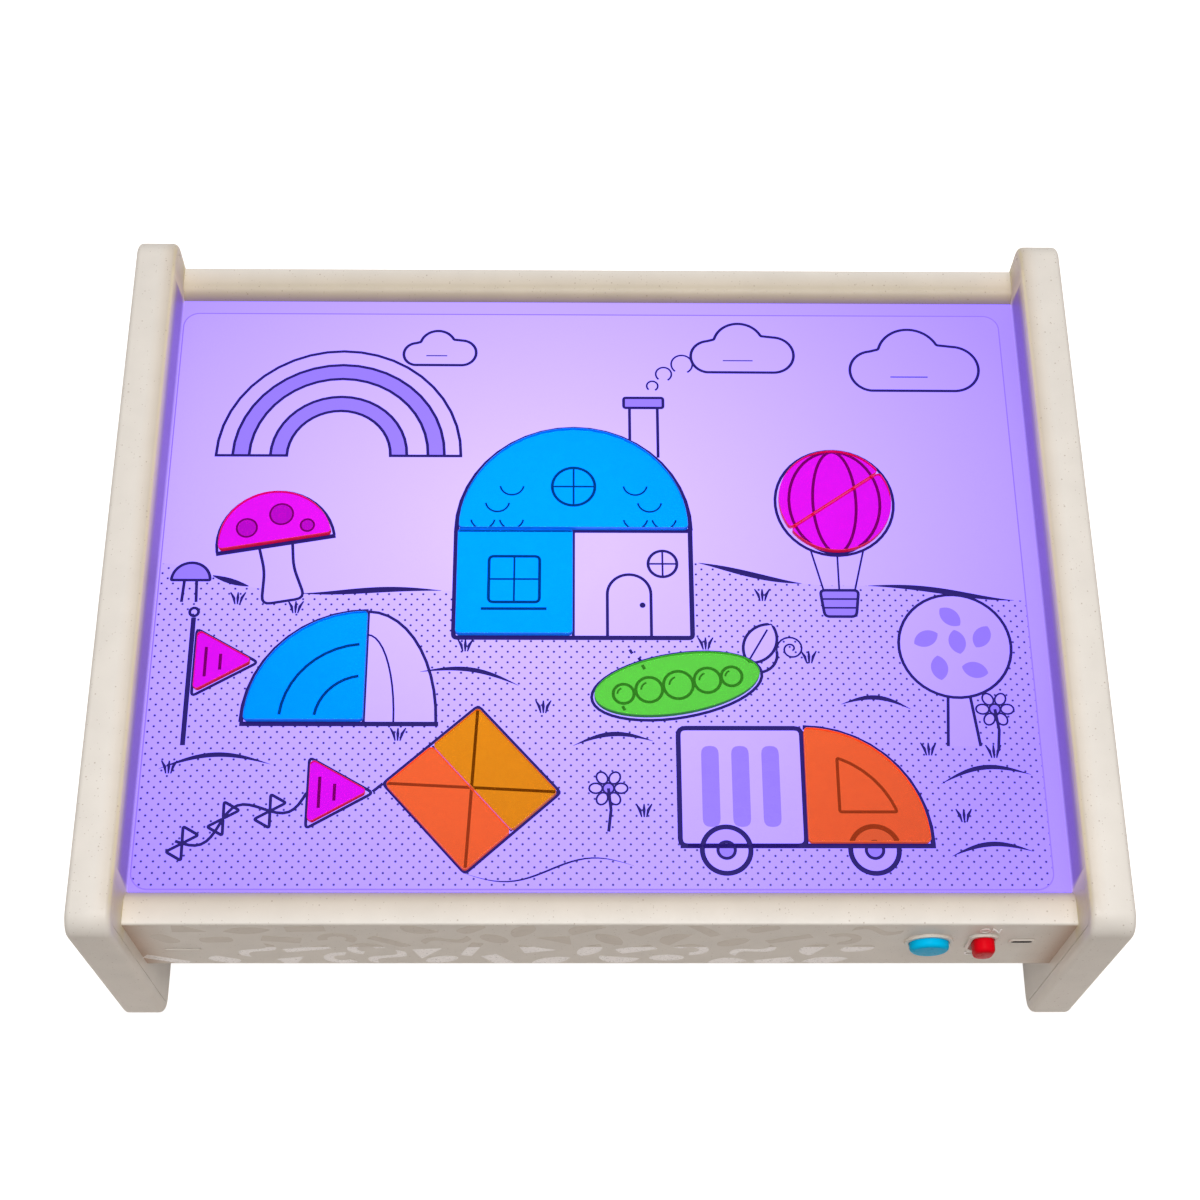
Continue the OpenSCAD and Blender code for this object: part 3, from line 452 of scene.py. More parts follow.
def soften(node, body, finish, edge, segments=2):
    """A merged copy of a CAD node with rounded edges, which takes the node's place."""
    shape = bmesh.new()
    shape.from_mesh(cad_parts[node].data)
    bmesh.ops.remove_doubles(shape, verts=shape.verts, dist=MERGE_DISTANCE)
    bmesh.ops.dissolve_limit(shape, angle_limit=FLAT_ANGLE, use_dissolve_boundaries=False,
                             verts=shape.verts, edges=shape.edges, delimit={"NORMAL"})
    mesh = bpy.data.meshes.new(node + "_soft")
    shape.to_mesh(mesh)
    for name in ("custom_normal", "sharp_edge", "sharp_face"):
        if name in mesh.attributes:
            mesh.attributes.remove(mesh.attributes[name])
    smooth_faces(mesh)
    piece = link_piece(node + "_soft", mesh, body, finish)
    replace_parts(piece, node)
    rounding = piece.modifiers.new("soft_edges", "BEVEL")
    rounding.width = edge
    rounding.segments = segments
    rounding.limit_method = "ANGLE"
    rounding.angle_limit = SMOOTH_ANGLE
    rounding.harden_normals = True
    return piece


MOULDINGS = {"left_panel_shell": (panel_cream_painted, 0.1), "right_panel_shell": (panel_cream_painted, 0.1),
             "left_panel_cover": (panel_cream_painted, 0.05), "right_panel_cover": (panel_cream_painted, 0.05),
             "body_frame": (rail_cream_shaded, 0.3), "bottom_cover": (cream, 0.2)}
for node, (finish, edge) in MOULDINGS.items():
    soften(node, "table", finish, edge * MM)
soften("battery_door", "door", cream, 0.3 * MM)
print("softened", len(MOULDINGS) + 1, "mouldings")

# %% [markdown]
# ## Lit plate
# The plate is a milky sheet with violet lamps under it. A lamp could be put below a see-through
# plate, but scattering takes many samples. The plate's finish gives off light itself, a little
# less towards the rim, and that light also colours the rails and the panels beside it.

# %% Lit plate
GLOW_STRENGTH = 2.0
GLOW_MIDDLE = (0.365, 0.27, 1.0)
GLOW_RIM = (0.20, 0.13, 0.90)
GLOW_PLACE = Vector((-30, 25, 0)) * MM
GLOW_REACH = 235 * MM
GLOW_SHAPE = (1, 1.2, 0)
UNLIT = (0.04, 0.03, 0.06)
PLATE_SKIN = (400, 0.00005, 0.3, 0.5)


def glow_colour(finish, middle, rim):
    """A socket that fades from the middle's colour to the rim's over the plate."""
    offset = vectors(finish, "SUBTRACT", place_of(finish), GLOW_PLACE).outputs[0]
    level = vectors(finish, "MULTIPLY", offset, GLOW_SHAPE).outputs[0]
    far = vectors(finish, "LENGTH", level).outputs["Value"]
    return ramp(finish, span(finish, far, 0, GLOW_REACH, 0, 1), (0.15, middle), (1.0, rim))


def new_glow(name, middle, rim):
    """A lit finish whose colour fades to the rim, its shader and its colour socket."""
    finish, shader = new_finish(name, UNLIT, 0.4, Emission_Strength=GLOW_STRENGTH,
                                Specular_IOR_Level=0.2)
    colour = glow_colour(finish, middle, rim)
    connect(finish, colour, shader, "Emission Color")
    return finish, shader, colour


def dress(node, finish):
    """Gives a CAD node its finish."""
    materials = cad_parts[node].data.materials
    materials.clear()
    materials.append(finish)


lit_plate, plate_shader, _ = new_glow("lit_plate", shade(GLOW_MIDDLE, 0.9), shade(GLOW_RIM, 0.95))
add_skin(lit_plate, plate_shader, *PLATE_SKIN)
dress("diffuser_plate", lit_plate)
print("plate glows violet")

# %% [markdown]
# ## Picture card
# The card is a clear film with rounded corners, printed with line art that leaves blanks for the
# tiles. It could be one flat picture, but here every line is a thin piece of mesh, so edges stay
# crisp at any size. The layers lie within the thickness of the CAD card: film, dotted field,
# blanks and tints, then ink, whose top is where the tiles rest.

# %% Picture card film
CARD_SIZE = (358.6, 263.4)
CARD_CORNER = 7.0
CARD_LOW = 101.5
FILM_TOP = 101.92
FIELD_TOP = 101.95
BLANK_TOP = 101.98
TINT_TOP = 102.01
INK_MIDDLE = 102.04
CARD_MIDDLE = Vector((-2.9, 0.5, 0)) * MM
CARD_PLACE = Matrix.Translation(CARD_MIDDLE) @ Matrix.Scale(MM, 4)
EDGE_LINE = 0.55 * MM
EDGE_COLOUR = (0.14, 0.08, 0.66, 1)
CARD_SKIN = (250, 0.00003, 0.22, 0.34)


def card_piece(name, shape, finish):
    """A piece of the card from a bmesh in card millimetres."""
    bmesh.ops.recalc_face_normals(shape, faces=shape.faces)
    mesh = bpy.data.meshes.new(name)
    shape.to_mesh(mesh)
    mesh.transform(CARD_PLACE)
    return link_piece(name, mesh, "card", finish)


def card_edge(finish):
    """1 on a thin line just inside the card's rounded outline."""
    straight = [(side / 2 - CARD_CORNER) * MM for side in CARD_SIZE]
    corner = vectors(finish, "SUBTRACT", place_of(finish), CARD_MIDDLE).outputs[0]
    for operation, other in (("MULTIPLY", (1, 1, 0)), ("ABSOLUTE", (0, 0, 0)),
                             ("SUBTRACT", (*straight, 0)), ("MAXIMUM", (0, 0, 0))):
        corner = vectors(finish, operation, corner, other).outputs[0]
    reach = vectors(finish, "LENGTH", corner).outputs["Value"]
    return sums(finish, "GREATER_THAN", reach, CARD_CORNER * MM - EDGE_LINE)


film, film_shader, film_colour = new_glow("lit_film", GLOW_MIDDLE, GLOW_RIM)
edged = mixed(film, card_edge(film), film_colour, EDGE_COLOUR)
connect(film, edged, film_shader, "Emission Color")
add_skin(film, film_shader, *CARD_SKIN)
film_shape = bmesh.new()
bmesh.ops.create_cube(film_shape, size=1)
bmesh.ops.scale(film_shape, vec=(*CARD_SIZE, FILM_TOP - CARD_LOW), verts=film_shape.verts)
bmesh.ops.translate(film_shape, vec=(0, 0, (FILM_TOP + CARD_LOW) / 2), verts=film_shape.verts)
upright = [e for e in film_shape.edges if abs(e.verts[0].co.z - e.verts[1].co.z) > 0.1]
bmesh.ops.bevel(film_shape, geom=upright, offset=CARD_CORNER, offset_type="OFFSET", segments=10,
                profile=0.5, affect="EDGES", material=-1)
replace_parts(card_piece("card_film_sheet", film_shape, film), "picture_card")
print("card film", CARD_SIZE)

# %% [markdown]
# ### Drawing tools
# A pen line is a path with a width. Ribbons could be made vertex by vertex, but a curve with a
# bevel does that, also for lines that taper at their ends. All lines become one curve, which is
# made a mesh and pressed flat. A filled area is one face, extruded a little.

# %% Drawing tools
BOLD = 2.0
LINE = 1.25
FINE = 0.8
ARC_STEP = 8
ARC_FEWEST = 5
CORNER_STEPS = 4
CORNER_SHARE = 0.45
strokes = []
areas = {"field": [], "blank": [], "tint": []}


def draw(path, width=LINE, closed=False, taper=False):
    """Notes a pen line along a path, in card millimetres."""
    strokes.append((path, width, closed, taper))


def fill(kind, path):
    """Notes a filled area inside a path."""
    areas[kind].append(path)


def arc(middle, radius, start, end, flat=1.0, turn=0.0):
    """Points on a circle or a flattened one, between two angles in degrees."""
    steps = max(ARC_FEWEST, round(abs(end - start) / ARC_STEP))
    angles = [math.radians(start + (end - start) * i / steps) for i in range(steps + 1)]
    points = [(radius * math.cos(a), radius * flat * math.sin(a)) for a in angles]
    return moved(points, middle, turn)


def loop(middle, radius, flat=1.0, turn=0.0):
    """Points all round a circle or a flattened one."""
    return arc(middle, radius, 0, 360, flat, turn)[:-1]


def moved(path, place, turn=0.0):
    """A path turned by degrees and set down at a place."""
    c, s = math.cos(math.radians(turn)), math.sin(math.radians(turn))
    return [(place[0] + c * x - s * y, place[1] + s * x + c * y) for x, y in path]


def rounded(path, radius, closed=True):
    """A path of straight lines with its corners rounded."""
    result = [] if closed else [path[0]]
    count = len(path)
    for i in range(0 if closed else 1, count if closed else count - 1):
        corner = Vector(path[i])
        ends = []
        for other in (path[i - 1], path[(i + 1) % count]):
            side = Vector(other) - corner
            ends.append(corner + side * min(CORNER_SHARE, radius / side.length))
        for step in range(CORNER_STEPS + 1):
            t = step / CORNER_STEPS
            point = ends[0] * (1 - t) ** 2 + corner * 2 * t * (1 - t) + ends[1] * t ** 2
            result.append(tuple(point))
    return result if closed else result + [path[-1]]


def wave(start, end, height, bends, steps=24):
    """A path from start to end that swings to both sides."""
    run = Vector(end) - Vector(start)
    side = Vector((-run.y, run.x)).normalized() * height
    return [tuple(Vector(start) + run * (i / steps) + side * math.sin(math.pi * bends * i / steps))
            for i in range(steps + 1)]


def outline(path, width=LINE, kind="blank"):
    """A filled area with a line round it."""
    fill(kind, path)
    draw(path, width, closed=True)


def raised(paths, low, top, unit=1.0):
    """A bmesh with each area as one face, extruded from low to top."""
    shape = bmesh.new()
    for path in paths:
        face = shape.faces.new([shape.verts.new((x * unit, y * unit, low)) for x, y in path])
        lifted = bmesh.ops.extrude_face_region(shape, geom=[face])["geom"]
        bmesh.ops.translate(shape, vec=(0, 0, top - low),
                            verts=[v for v in lifted if isinstance(v, bmesh.types.BMVert)])
    return shape


def curve_mesh(curve):
    """The mesh of a curve or a text."""
    carrier = bpy.data.objects.new(curve.name, curve)
    scene.collection.objects.link(carrier)
    mesh = bpy.data.meshes.new_from_object(carrier.evaluated_get(
        bpy.context.evaluated_depsgraph_get()))
    bpy.data.objects.remove(carrier)
    return mesh


print("pens:", BOLD, LINE, FINE, "mm")

# %% [markdown]
# ### House
# The half disc is the roof and the square one half of the wall; the other half is a blank. Door
# and windows are printed, and show through where a tile covers them.

# %% House
ROOF = (-8.0, 24.5)
WALL = rounded([(-57, 24.5), (-57, -24.8), (40.8, -24.8), (40.8, 24.5)], 1.5, closed=False)
fill("blank", WALL)
draw(WALL, BOLD)
draw(arc(ROOF, 49, 0, 180), BOLD)
draw([(-57.8, 24.4), (41.6, 24.4)], BOLD)
draw([(-8, 24), (-8, -24.5)])
for middle, radius in (((-8, 45), 9), ((29, 9), 6)):
    draw(loop(middle, radius), closed=True)
    draw([(middle[0] - radius, middle[1]), (middle[0] + radius, middle[1])], FINE)
    draw([(middle[0], middle[1] - radius), (middle[0], middle[1] + radius)], FINE)
draw(rounded([(-43, -9), (-43, 12), (-22, 12), (-22, -9)], 2), closed=True)
draw([(-43, 1.5), (-22, 1.5)], FINE)
draw([(-32.5, -9), (-32.5, 12)], FINE)
draw([(-46, -12), (-19, -12)])
draw([(6, -24.5)] + arc((15, -5), 9, 180, 0) + [(24, -24.5)])
draw(loop((20.5, -10), 0.6), closed=True)
for x, y in ((-46, 30), (-34, 30), (18, 30), (30, 30), (-40, 38), (24, 38), (-34, 46), (18, 46)):
    draw(arc((x, y), 5, 190, 350), FINE)
CHIMNEY = [(16, 67.5), (16, 84), (28, 84), (28, 59.5)]
draw(rounded(CHIMNEY, 1, closed=False))
outline(rounded([(13.5, 84), (13.5, 89), (30.5, 89), (30.5, 84)], 1), kind="tint")
for place, radius in (((26, 95), 2.4), ((31, 101), 3.4), ((39, 106), 4.6)):
    draw(arc(place, radius, -60, 230), FINE)
print("house:", len(strokes), "lines so far")

# %% [markdown]
# ### Balloon, toadstool and rainbow
# Two half discs make a balloon with a printed basket, and one makes the cap of a toadstool. The
# rainbow has no tile: its bands are tinted, as a paler ink would be.

# %% Balloon, toadstool and rainbow
BALLOON = (102.0, 38.0)
draw(loop(BALLOON, 25), closed=True)
for squeeze in (0.38, 0.8):
    draw(loop(BALLOON, 24, squeeze, 90), closed=True)
for top, low in (((91, 15.5), (95.5, -3)), ((102, 13), (102, -3)), ((113, 15.5), (108.5, -3))):
    draw([top, low], FINE)
outline(rounded([(94, -3), (95.5, -15), (108.5, -15), (110, -3)], 2), kind="tint")
draw([(94.6, -7), (109.4, -7)], FINE)
draw([(95.1, -11), (108.9, -11)], FINE)

TOADSTOOL = ((-132.0, 18.0), 10.0)
STEM = rounded([(-7, 0), (-6, -12), (-9, -27), (9, -27), (6, -12), (7, 0)], 4, closed=False)
fill("blank", moved(STEM, *TOADSTOOL))
draw(moved(STEM, *TOADSTOOL))
draw(moved(arc((0, 0), 24.5, 0, 180), *TOADSTOOL))
draw(moved([(-25, -0.6), (25, -0.6)], *TOADSTOOL), BOLD)
for spot, radius in (((-11, 9), 4.2), ((4, 13), 4.8), ((14, 6), 2.8)):
    outline(moved(loop(spot, radius), *TOADSTOOL), FINE, "tint")
SMALL_CAP = (-166.0, 1.0)
draw([(-168.5, 1), (-169, -9)])
draw([(-163.5, 1), (-163, -9)])
outline(rounded(arc(SMALL_CAP, 8, 0, 180), 0.5), kind="tint")

RAINBOW = (-108.0, 60.0)
for radius, band in ((22, 7), (38, 7)):
    fill("tint", arc(RAINBOW, radius + band, 0, 180) + arc(RAINBOW, radius, 180, 0))
for radius in (22, 29, 38, 45, 52):
    draw(arc(RAINBOW, radius, 0, 180))
for side in (-1, 1):
    draw([(RAINBOW[0] + side * 21.4, RAINBOW[1]), (RAINBOW[0] + side * 52.6, RAINBOW[1])])
print("balloon, toadstool and rainbow:", len(strokes), "lines so far")

# %% [markdown]
# ### Tent, pennant and kite
# A quarter disc is half a tent, a triangle flies from a pole, and two bars make a kite whose tail
# runs through the second triangle.

# %% Tent, pennant and kite
TENT = (-92.0, -62.0)
fill("blank", arc(TENT, 49, 180, 90) + [TENT])
draw(arc(TENT, 49, 180, 90), BOLD)
flap = arc(TENT, 29, 90, 0, 48.8 / 29)
fill("blank", flap + [TENT])
draw(flap)
draw([(-141.5, -62.8), (-62, -62.8)], BOLD)
draw([(-92, -13.5), (-92, -62)])
draw(arc((-92, -62), 12, 90, 0, 3.2), FINE)
draw(arc(TENT, 34, 175, 95))
draw(arc(TENT, 20, 172, 98))

POLE_X = -163.4
draw([(POLE_X, -16), (POLE_X, -72)], BOLD)
draw(loop((POLE_X, -13.5), 1.8), closed=True)
PENNANTS = ((-153.0, -36.0), (-104.0, -92.0))
PENNANT_REACH = 17.2
for place in PENNANTS:
    corners = [moved([(PENNANT_REACH, 0)], (0, 0), turn)[0] for turn in (0, 120, 240)]
    outline(rounded(moved(corners, place), 2))
    draw(moved([(-4, -6.5), (-4, 6.5)], place))
    draw(moved([(2, -3.5), (2, 3.5)], place))

KITE = (-48.0, -90.0)
KITE_REACH = 35.2
KITE_TURN = 42
tips = moved([(KITE_REACH, 0), (0, KITE_REACH), (-KITE_REACH, 0), (0, -KITE_REACH)], KITE, -3)
outline(rounded(tips, 2))
draw([tips[0], tips[2]])
draw([tips[1], tips[3]])
draw(moved([(0, -24), (0, 24)], KITE, KITE_TURN), FINE)
draw([tips[2], (-87, -91.5)])
tail = wave((-113, -92), (-163, -112), 5, 3)
draw(tail)
for spot in (tail[7], tail[15], tail[23]):
    for side in (1, -1):
        bow = [(0, 0), (6 * side, 3.6), (6 * side, -3.6)]
        outline(rounded(moved(bow, spot, 60), 1))
draw(wave(tips[3], (16, -122), -4, 2), FINE, taper=True)
print("tent, pennant and kite:", len(strokes), "lines so far")

# %% [markdown]
# ### Lorry, pea pod and tree
# A quarter disc is the cab of a lorry, with a blank load, and the ellipse is a pod with printed
# peas. The tree has no tile.

# %% Lorry, pea pod and tree
CAB = (84.0, -113.0)
LOAD = rounded([(34, -113.8), (34, -64.4), (83.4, -64.4), (83.4, -113.8)], 3)
outline(LOAD, BOLD)
fill("blank", arc(CAB, 49, 0, 90) + [CAB])
draw(arc(CAB, 49, 0, 90), BOLD)
draw([(34, -113.8), (134, -113.8)], BOLD)
draw(rounded(arc(CAB, 38, 20, 70) + [(97, -100)], 1), closed=True)
for x in (43, 55, 67):
    fill("tint", rounded([(x, -106), (x, -72), (x + 7, -72), (x + 7, -106)], 3.4))
for x in (52, 110):
    outline(loop((x, -115.5), 9.5), BOLD)
    outline(loop((x, -115.5), 3.4), kind="tint")

POD = ((34.0, -46.0), 10.0)
outline(moved(loop((0, 0), 35, 14 / 35), *POD))
for x, radius in ((-22, 4.2), (-11.5, 5.4), (0.5, 6.0), (12.5, 5.4), (22.5, 4.2)):
    draw(moved(loop((x, 0), radius), *POD), closed=True)
    draw(moved(arc((x, 0), radius * 0.6, 100, 170), *POD), FINE)
draw(moved(arc((35, 8), 8, 270, 360), *POD))
curl = [(43 + 6 - (6 - 0.16 * i) * math.cos(0.32 * i), 8 + (6 - 0.16 * i) * math.sin(0.32 * i))
        for i in range(34)]
draw(moved(curl, *POD), FINE)
leaf = arc((0, -5), 11, 25, 155) + arc((0, 4.3), 11, 205, 335)
outline(moved(leaf, (68, -27), 60))
draw(moved([(-9, 0), (7, 0)], (68, -27), 60), FINE)

TREE = (148.0, -28.0)
TRUNK = [(143.5, -50.6), (142, -72), (155, -72), (152.5, -50.6)]
fill("blank", TRUNK)
draw(TRUNK[:2])
draw(TRUNK[2:])
outline(loop(TREE, 23))
for angle, reach in ((20, 12), (95, 13), (165, 12), (235, 12), (305, 13), (60, 2)):
    spot = moved([(reach, 0)], TREE, angle)[0]
    fill("tint", moved(arc((0, -2.6), 6, 25, 155) + arc((0, 2.4), 6, 205, 335), spot, angle + 40))
print("lorry, pod and tree:", len(strokes), "lines so far")

# %% [markdown]
# ### Sky and land
# Clouds, a dotted field under a line of hills, grass and flowers fill the rest. The hills' line
# swells and tapers, as one drawn with a brush.

# %% Sky and land
CLOUD = (arc((-15, 4), 8, 262, 95) + arc((-2, 10), 11, 165, 25) + arc((13, 5), 9, 88, -88))
for place, size in (((66, 106), 1.0), ((141, 98), 1.25), ((-66, 108), 0.7)):
    draw(rounded(moved([(x * size, y * size) for x, y in CLOUD], place), 0.6), closed=True)
    draw(moved([(-9 * size, 2), (4 * size, 2)], place), FINE, taper=True)


def hill(x):
    """Height of the hills' line at x."""
    return 1 + 7 * math.sin(x / 38 + 0.6) + 3 * math.sin(x / 17)


FIELD_SIDE = 178.7
FIELD_LOW = -131.1
ridge = [(x, hill(x)) for x in range(-175, 176, 5)]
fill("field", [(-FIELD_SIDE, hill(-175))] + ridge + [(FIELD_SIDE, hill(175))]
     + rounded([(FIELD_SIDE, hill(175)), (FIELD_SIDE, FIELD_LOW), (-FIELD_SIDE, FIELD_LOW),
                (-FIELD_SIDE, hill(-175))], CARD_CORNER, closed=False)[1:-1])
for start, end in ((-157, -141), (-120, -62), (44, 88), (114, 176)):
    draw([(x / 2, hill(x / 2)) for x in range(2 * start, 2 * end, 5)], 2.6, taper=True)
for start, end, height in (((-172, -82), (-128, -80), 5), ((-8, -72), (24, -70), 4),
                           ((100, -54), (128, -56), 4), ((138, -88), (174, -84), 5),
                           ((-30, -46), (-70, -40), -4), ((140, -118), (172, -116), 4)):
    draw(wave(start, end, height, 1), BOLD, taper=True)
for x, y in ((-122, -14), (-146, -10), (-52, -31), (46, -30), (134, -76), (160, -77), (-78, -70),
             (20, -102), (146, -104), (-20, -58), (-168, -84), (88, -36), (70, -8)):
    for lean in (-2.4, 0, 2.4):
        blade = [(x + lean * 0.4, y), (x + lean * 0.7, y + 3), (x + lean * 1.3, y + 5.5)]
        draw(blade, taper=True)
for x, y in ((162, -56), (6, -90)):
    draw([(x, y), (x + 1, y - 9), (x, y - 18)])
    for angle in range(0, 360, 60):
        outline(moved(loop((5, 0), 2.6, 0.8), (x, y), angle), FINE)
    outline(loop((x, y), 2.2), FINE, "tint")
for step in range(8):
    x, y = 15 + 5 * math.sin(step * 0.8), -30 - 3.6 * step
    if step < 3 or step > 6:
        draw([(x, y), (x + 1, y - 1.8)])
print("whole picture:", len(strokes), "lines and", sum(map(len, areas.values())), "areas")

# %% [markdown]
# ### Print the picture
# Now the notes become mesh. Lines share one dark indigo ink, areas are lit like the film, and the
# field has a screen of fine dots, which is a lattice of spots in its finish.

# %% Print the picture
DOT_STEP = 3.32 * MM
DOT_SIZE = 0.15
DOT_SOFTNESS = (0.85, 1.1)
INK_FLATNESS = 0.04
TINT_MIDDLE = (0.16, 0.10, 0.62)
TINT_RIM = (0.12, 0.07, 0.55)


def dots(finish):
    """1 on the spots of a square lattice that stands on its corner."""
    turned = add_node(finish, "ShaderNodeMapping",
                      {"Vector": place_of(finish), "Rotation": (0, 0, math.radians(45)),
                       "Scale": (1 / DOT_STEP, 1 / DOT_STEP, 0)}).outputs[0]
    cell = vectors(finish, "FRACTION", turned).outputs[0]
    middle = vectors(finish, "DISTANCE", cell, (0.5, 0.5, 0)).outputs["Value"]
    return span(finish, middle, *(DOT_SIZE * edge for edge in DOT_SOFTNESS), 1, 0)


INK = tone(28, 7, 104)
field, field_shader, field_colour = new_glow("dotted_field", shade(GLOW_MIDDLE, 0.94),
                                             shade(GLOW_RIM, 0.96))
dotted = mixed(field, dots(field), field_colour, (*shade(INK, 0.7), 1))
connect(field, dotted, field_shader, "Emission Color")
add_skin(field, field_shader, *CARD_SKIN)
tint, tint_shader, _ = new_glow("tinted_area", TINT_MIDDLE, TINT_RIM)
add_skin(tint, tint_shader, *CARD_SKIN)
for kind, top, finish in (("field", FIELD_TOP, field), ("blank", BLANK_TOP, film),
                          ("tint", TINT_TOP, tint)):
    card_piece("card_" + kind, raised(areas[kind], FILM_TOP, top), finish)

pen = bpy.data.curves.new("pen_lines", "CURVE")
pen.dimensions = "3D"
pen.twist_mode = "Z_UP"
pen.bevel_depth = 1
pen.bevel_resolution = 2
pen.use_fill_caps = True
for path, width, closed, taper in strokes:
    spline = pen.splines.new("POLY")
    spline.points.add(len(path) - 1)
    spline.use_cyclic_u = closed
    for i, (point, (x, y)) in enumerate(zip(spline.points, path)):
        point.co = (x, y, 0, 1)
        swell = math.sin(math.pi * (i + 0.4) / (len(path) - 0.2)) if taper else 1
        point.radius = width / 2 * swell
ink_mesh = curve_mesh(pen)
ink_mesh.name = "card_ink"
ink_mesh.transform(CARD_PLACE @ Matrix.Translation((0, 0, INK_MIDDLE))
                   @ Matrix.Diagonal((1, 1, INK_FLATNESS, 1)))

# The ink gives off its colour as a painted glow, standing in for the plate's light through the ink.
ink, ink_shader = new_finish("indigo_ink", shade(INK, 0.15), 0.6, Emission_Strength=1.0,
                             Specular_IOR_Level=0.15)
ink_noise = add_node(ink, "ShaderNodeTexNoise", {"Vector": place_of(ink), "Scale": 500.0})
ink_glow_colour = ramp(ink, ink_noise.outputs[0], (0.3, shade(INK, 0.85)), (0.7, shade(INK, 1.1)))
connect(ink, ink_glow_colour, ink_shader, "Emission Color")
link_piece("card_ink", ink_mesh, "card", ink)
print("ink mesh of", len(ink_mesh.polygons), "faces")

# %% [markdown]
# ## Clear tiles
# The tiles are clear coloured plastic with a soft edge. Glass with a tint would do, but the real
# ones also scatter some light, so each has a faint glow of its own colour, and print under a tile
# turns to a darker tone of it. A low index of refraction keeps the studio's white out of them.
# Light that runs sideways through a tile comes out deeper at its rim, which has its own finish.

# %% Clear tiles
TILE_EDGE = 0.45 * MM
TILE_INDEX = 1.25
RIM_SLOPE = 0.5
TILE_COLOURS = {"blue": ((0.0, 0.66, 1.0), (0.0, 0.015, 0.03), tone(0, 112, 214)),
                "magenta": ((1.0, 0.015, 0.45), (0.07, 0.0, 0.04), tone(214, 8, 44)),
                "green": ((0.14, 0.92, 0.03), (0.022, 0.09, 0.010), tone(44, 130, 24)),
                "amber": ((1.0, 0.50, 0.006), (0.06, 0.015, 0.0), tone(214, 112, 8)),
                "orange": ((1.0, 0.23, 0.016), (0.13, 0.022, 0.007), tone(240, 92, 12))}
tile_finishes = {}
for colour, (clear, own_light, side) in TILE_COLOURS.items():
    body, shader = new_finish(f"clear_{colour}", clear, 0.05, IOR=TILE_INDEX,
                              Transmission_Weight=1.0, Emission_Strength=1.0,
                              Emission_Color=(*own_light, 1), Specular_Tint=(*clear, 1))
    mottled(body, shader, clear, 120, 0.02)
    add_skin(body, shader, 300, 0.00001, 0.03, 0.07)
    rim, shader = new_finish(f"rim_{colour}", side, 0.25, Emission_Strength=0.35,
                             Emission_Color=(*side, 1))
    mottled(rim, shader, side, 250, 0.08)
    tile_finishes[colour] = (body, rim)

tiles = sorted(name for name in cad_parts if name.startswith("tile_"))
for name in tiles:
    colour = name.split("_")[1]
    body, rim = tile_finishes[colour]
    tile = soften(name, name + "_body", body, TILE_EDGE, segments=3)
    tile.data.materials.append(rim)
    for face in tile.data.polygons:
        face.material_index = int(abs(face.normal.z) < RIM_SLOPE)
print("tiles:", len(tiles))

# %% [markdown]
# ## Confetti print on the walls
# The front wall has a loose print of small bits: bars, half discs, hooks, leaves and pebbles. The
# bits are cut at one height: above it they carry painted shade, darker than the wall, and below it
# a painted reflection of the floor, paler than the wall. Each bit is a thin slip of mesh on the
# wall.
# Their places come from a grid with a seeded shake, so they look scattered, never overlap, and fall
# the same on each run.

# %% Confetti print on the walls
PRINT_DEPTH = 0.06 * MM
PRINT_STEP = 22.0
PRINT_ROWS = (57.0, 70.5, 84.0, 97.5)
PRINT_SHAKE = 3.0
PRINT_TURN = 75
PRINT_LOW = 52.2
PRINT_HIGH = 104.6
# Height where the print turns from painted reflection below to painted shade above.
PRINT_SHADE_SPLIT = 75.5
PRINT_GAP = 0.8
PRINT_TRIES = 30
PRINT_SIZE = 1.1
PRINT_SPECKS = (500, 0.2, 0.25)
FRONT_SEED, FRONT_REACH = 4, (-171, 108)
BACK_SEED, BACK_REACH = 9, (-168, 172)
WALL_FRONT = -146.2
WALL_BACK = 153.1
LATCH_WINDOW = [(-173.5, 70.0), (-156.5, 70.0), (-156.5, 74.5), (-173.5, 74.5)]
SIDEWAYS = [(1, 0), (0, 1), (0.7, 0.7), (0.7, -0.7)]

wavy = wave((-9, 0), (9, 0), 3.0, 2, 14)
CUT_BITS = [rounded([(-7, -3.2), (7, -3.2), (7, 3.2), (-7, 3.2)], 0.4),
            rounded([(-8.5, -2.2), (8.5, -2.2), (8.5, 2.2), (-8.5, 2.2)], 0.4),
            rounded([(-6, -3.2), (6, -3.2), (6, 3.2), (-6, 3.2)], 3.1),
            arc((0, -3.5), 7.5, 0, 180),
            arc((0, -7), 11, 40, 140) + arc((0, 7.2), 11, 220, 320),
            loop((0, 0), 6.4, 0.6),
            rounded([(-8, -4), (7.5, -3.4), (0.5, 5)], 0.8)]
WHOLE_BITS = [arc((0, 0), 7.0, 30, 270) + arc((0, 0), 3.4, 270, 30),
              [(x, y + 2.0) for x, y in wavy] + [(x, y - 2.0) for x, y in reversed(wavy)]]
for bits in (CUT_BITS, WHOLE_BITS):
    bits[:] = [[(x * PRINT_SIZE, y * PRINT_SIZE) for x, y in path] for path in bits]


def clipped(path, low, high):
    """The part of an area between two heights."""
    for sign, limit in ((1, low), (-1, high)):
        kept = []
        for (x0, y0), (x1, y1) in zip(path, path[1:] + path[:1]):
            first, second = sign * (y0 - limit), sign * (y1 - limit)
            if first >= 0:
                kept.append((x0, y0))
            if first * second < 0:
                part = first / (first - second)
                kept.append((x0 + part * (x1 - x0), y0 + part * (y1 - y0)))
        path = kept
    return path


def reaches(path):
    """Lowest and highest point of a path in four directions, with a margin."""
    along = [[x * a + y * b for x, y in path] for a, b in SIDEWAYS]
    return [(min(values) - PRINT_GAP, max(values) + PRINT_GAP) for values in along]


def apart(one, other):
    """True when two paths are clear of each other in one of the four directions."""
    return any(high < low_too or high_too < low
               for (low, high), (low_too, high_too) in zip(one, other))


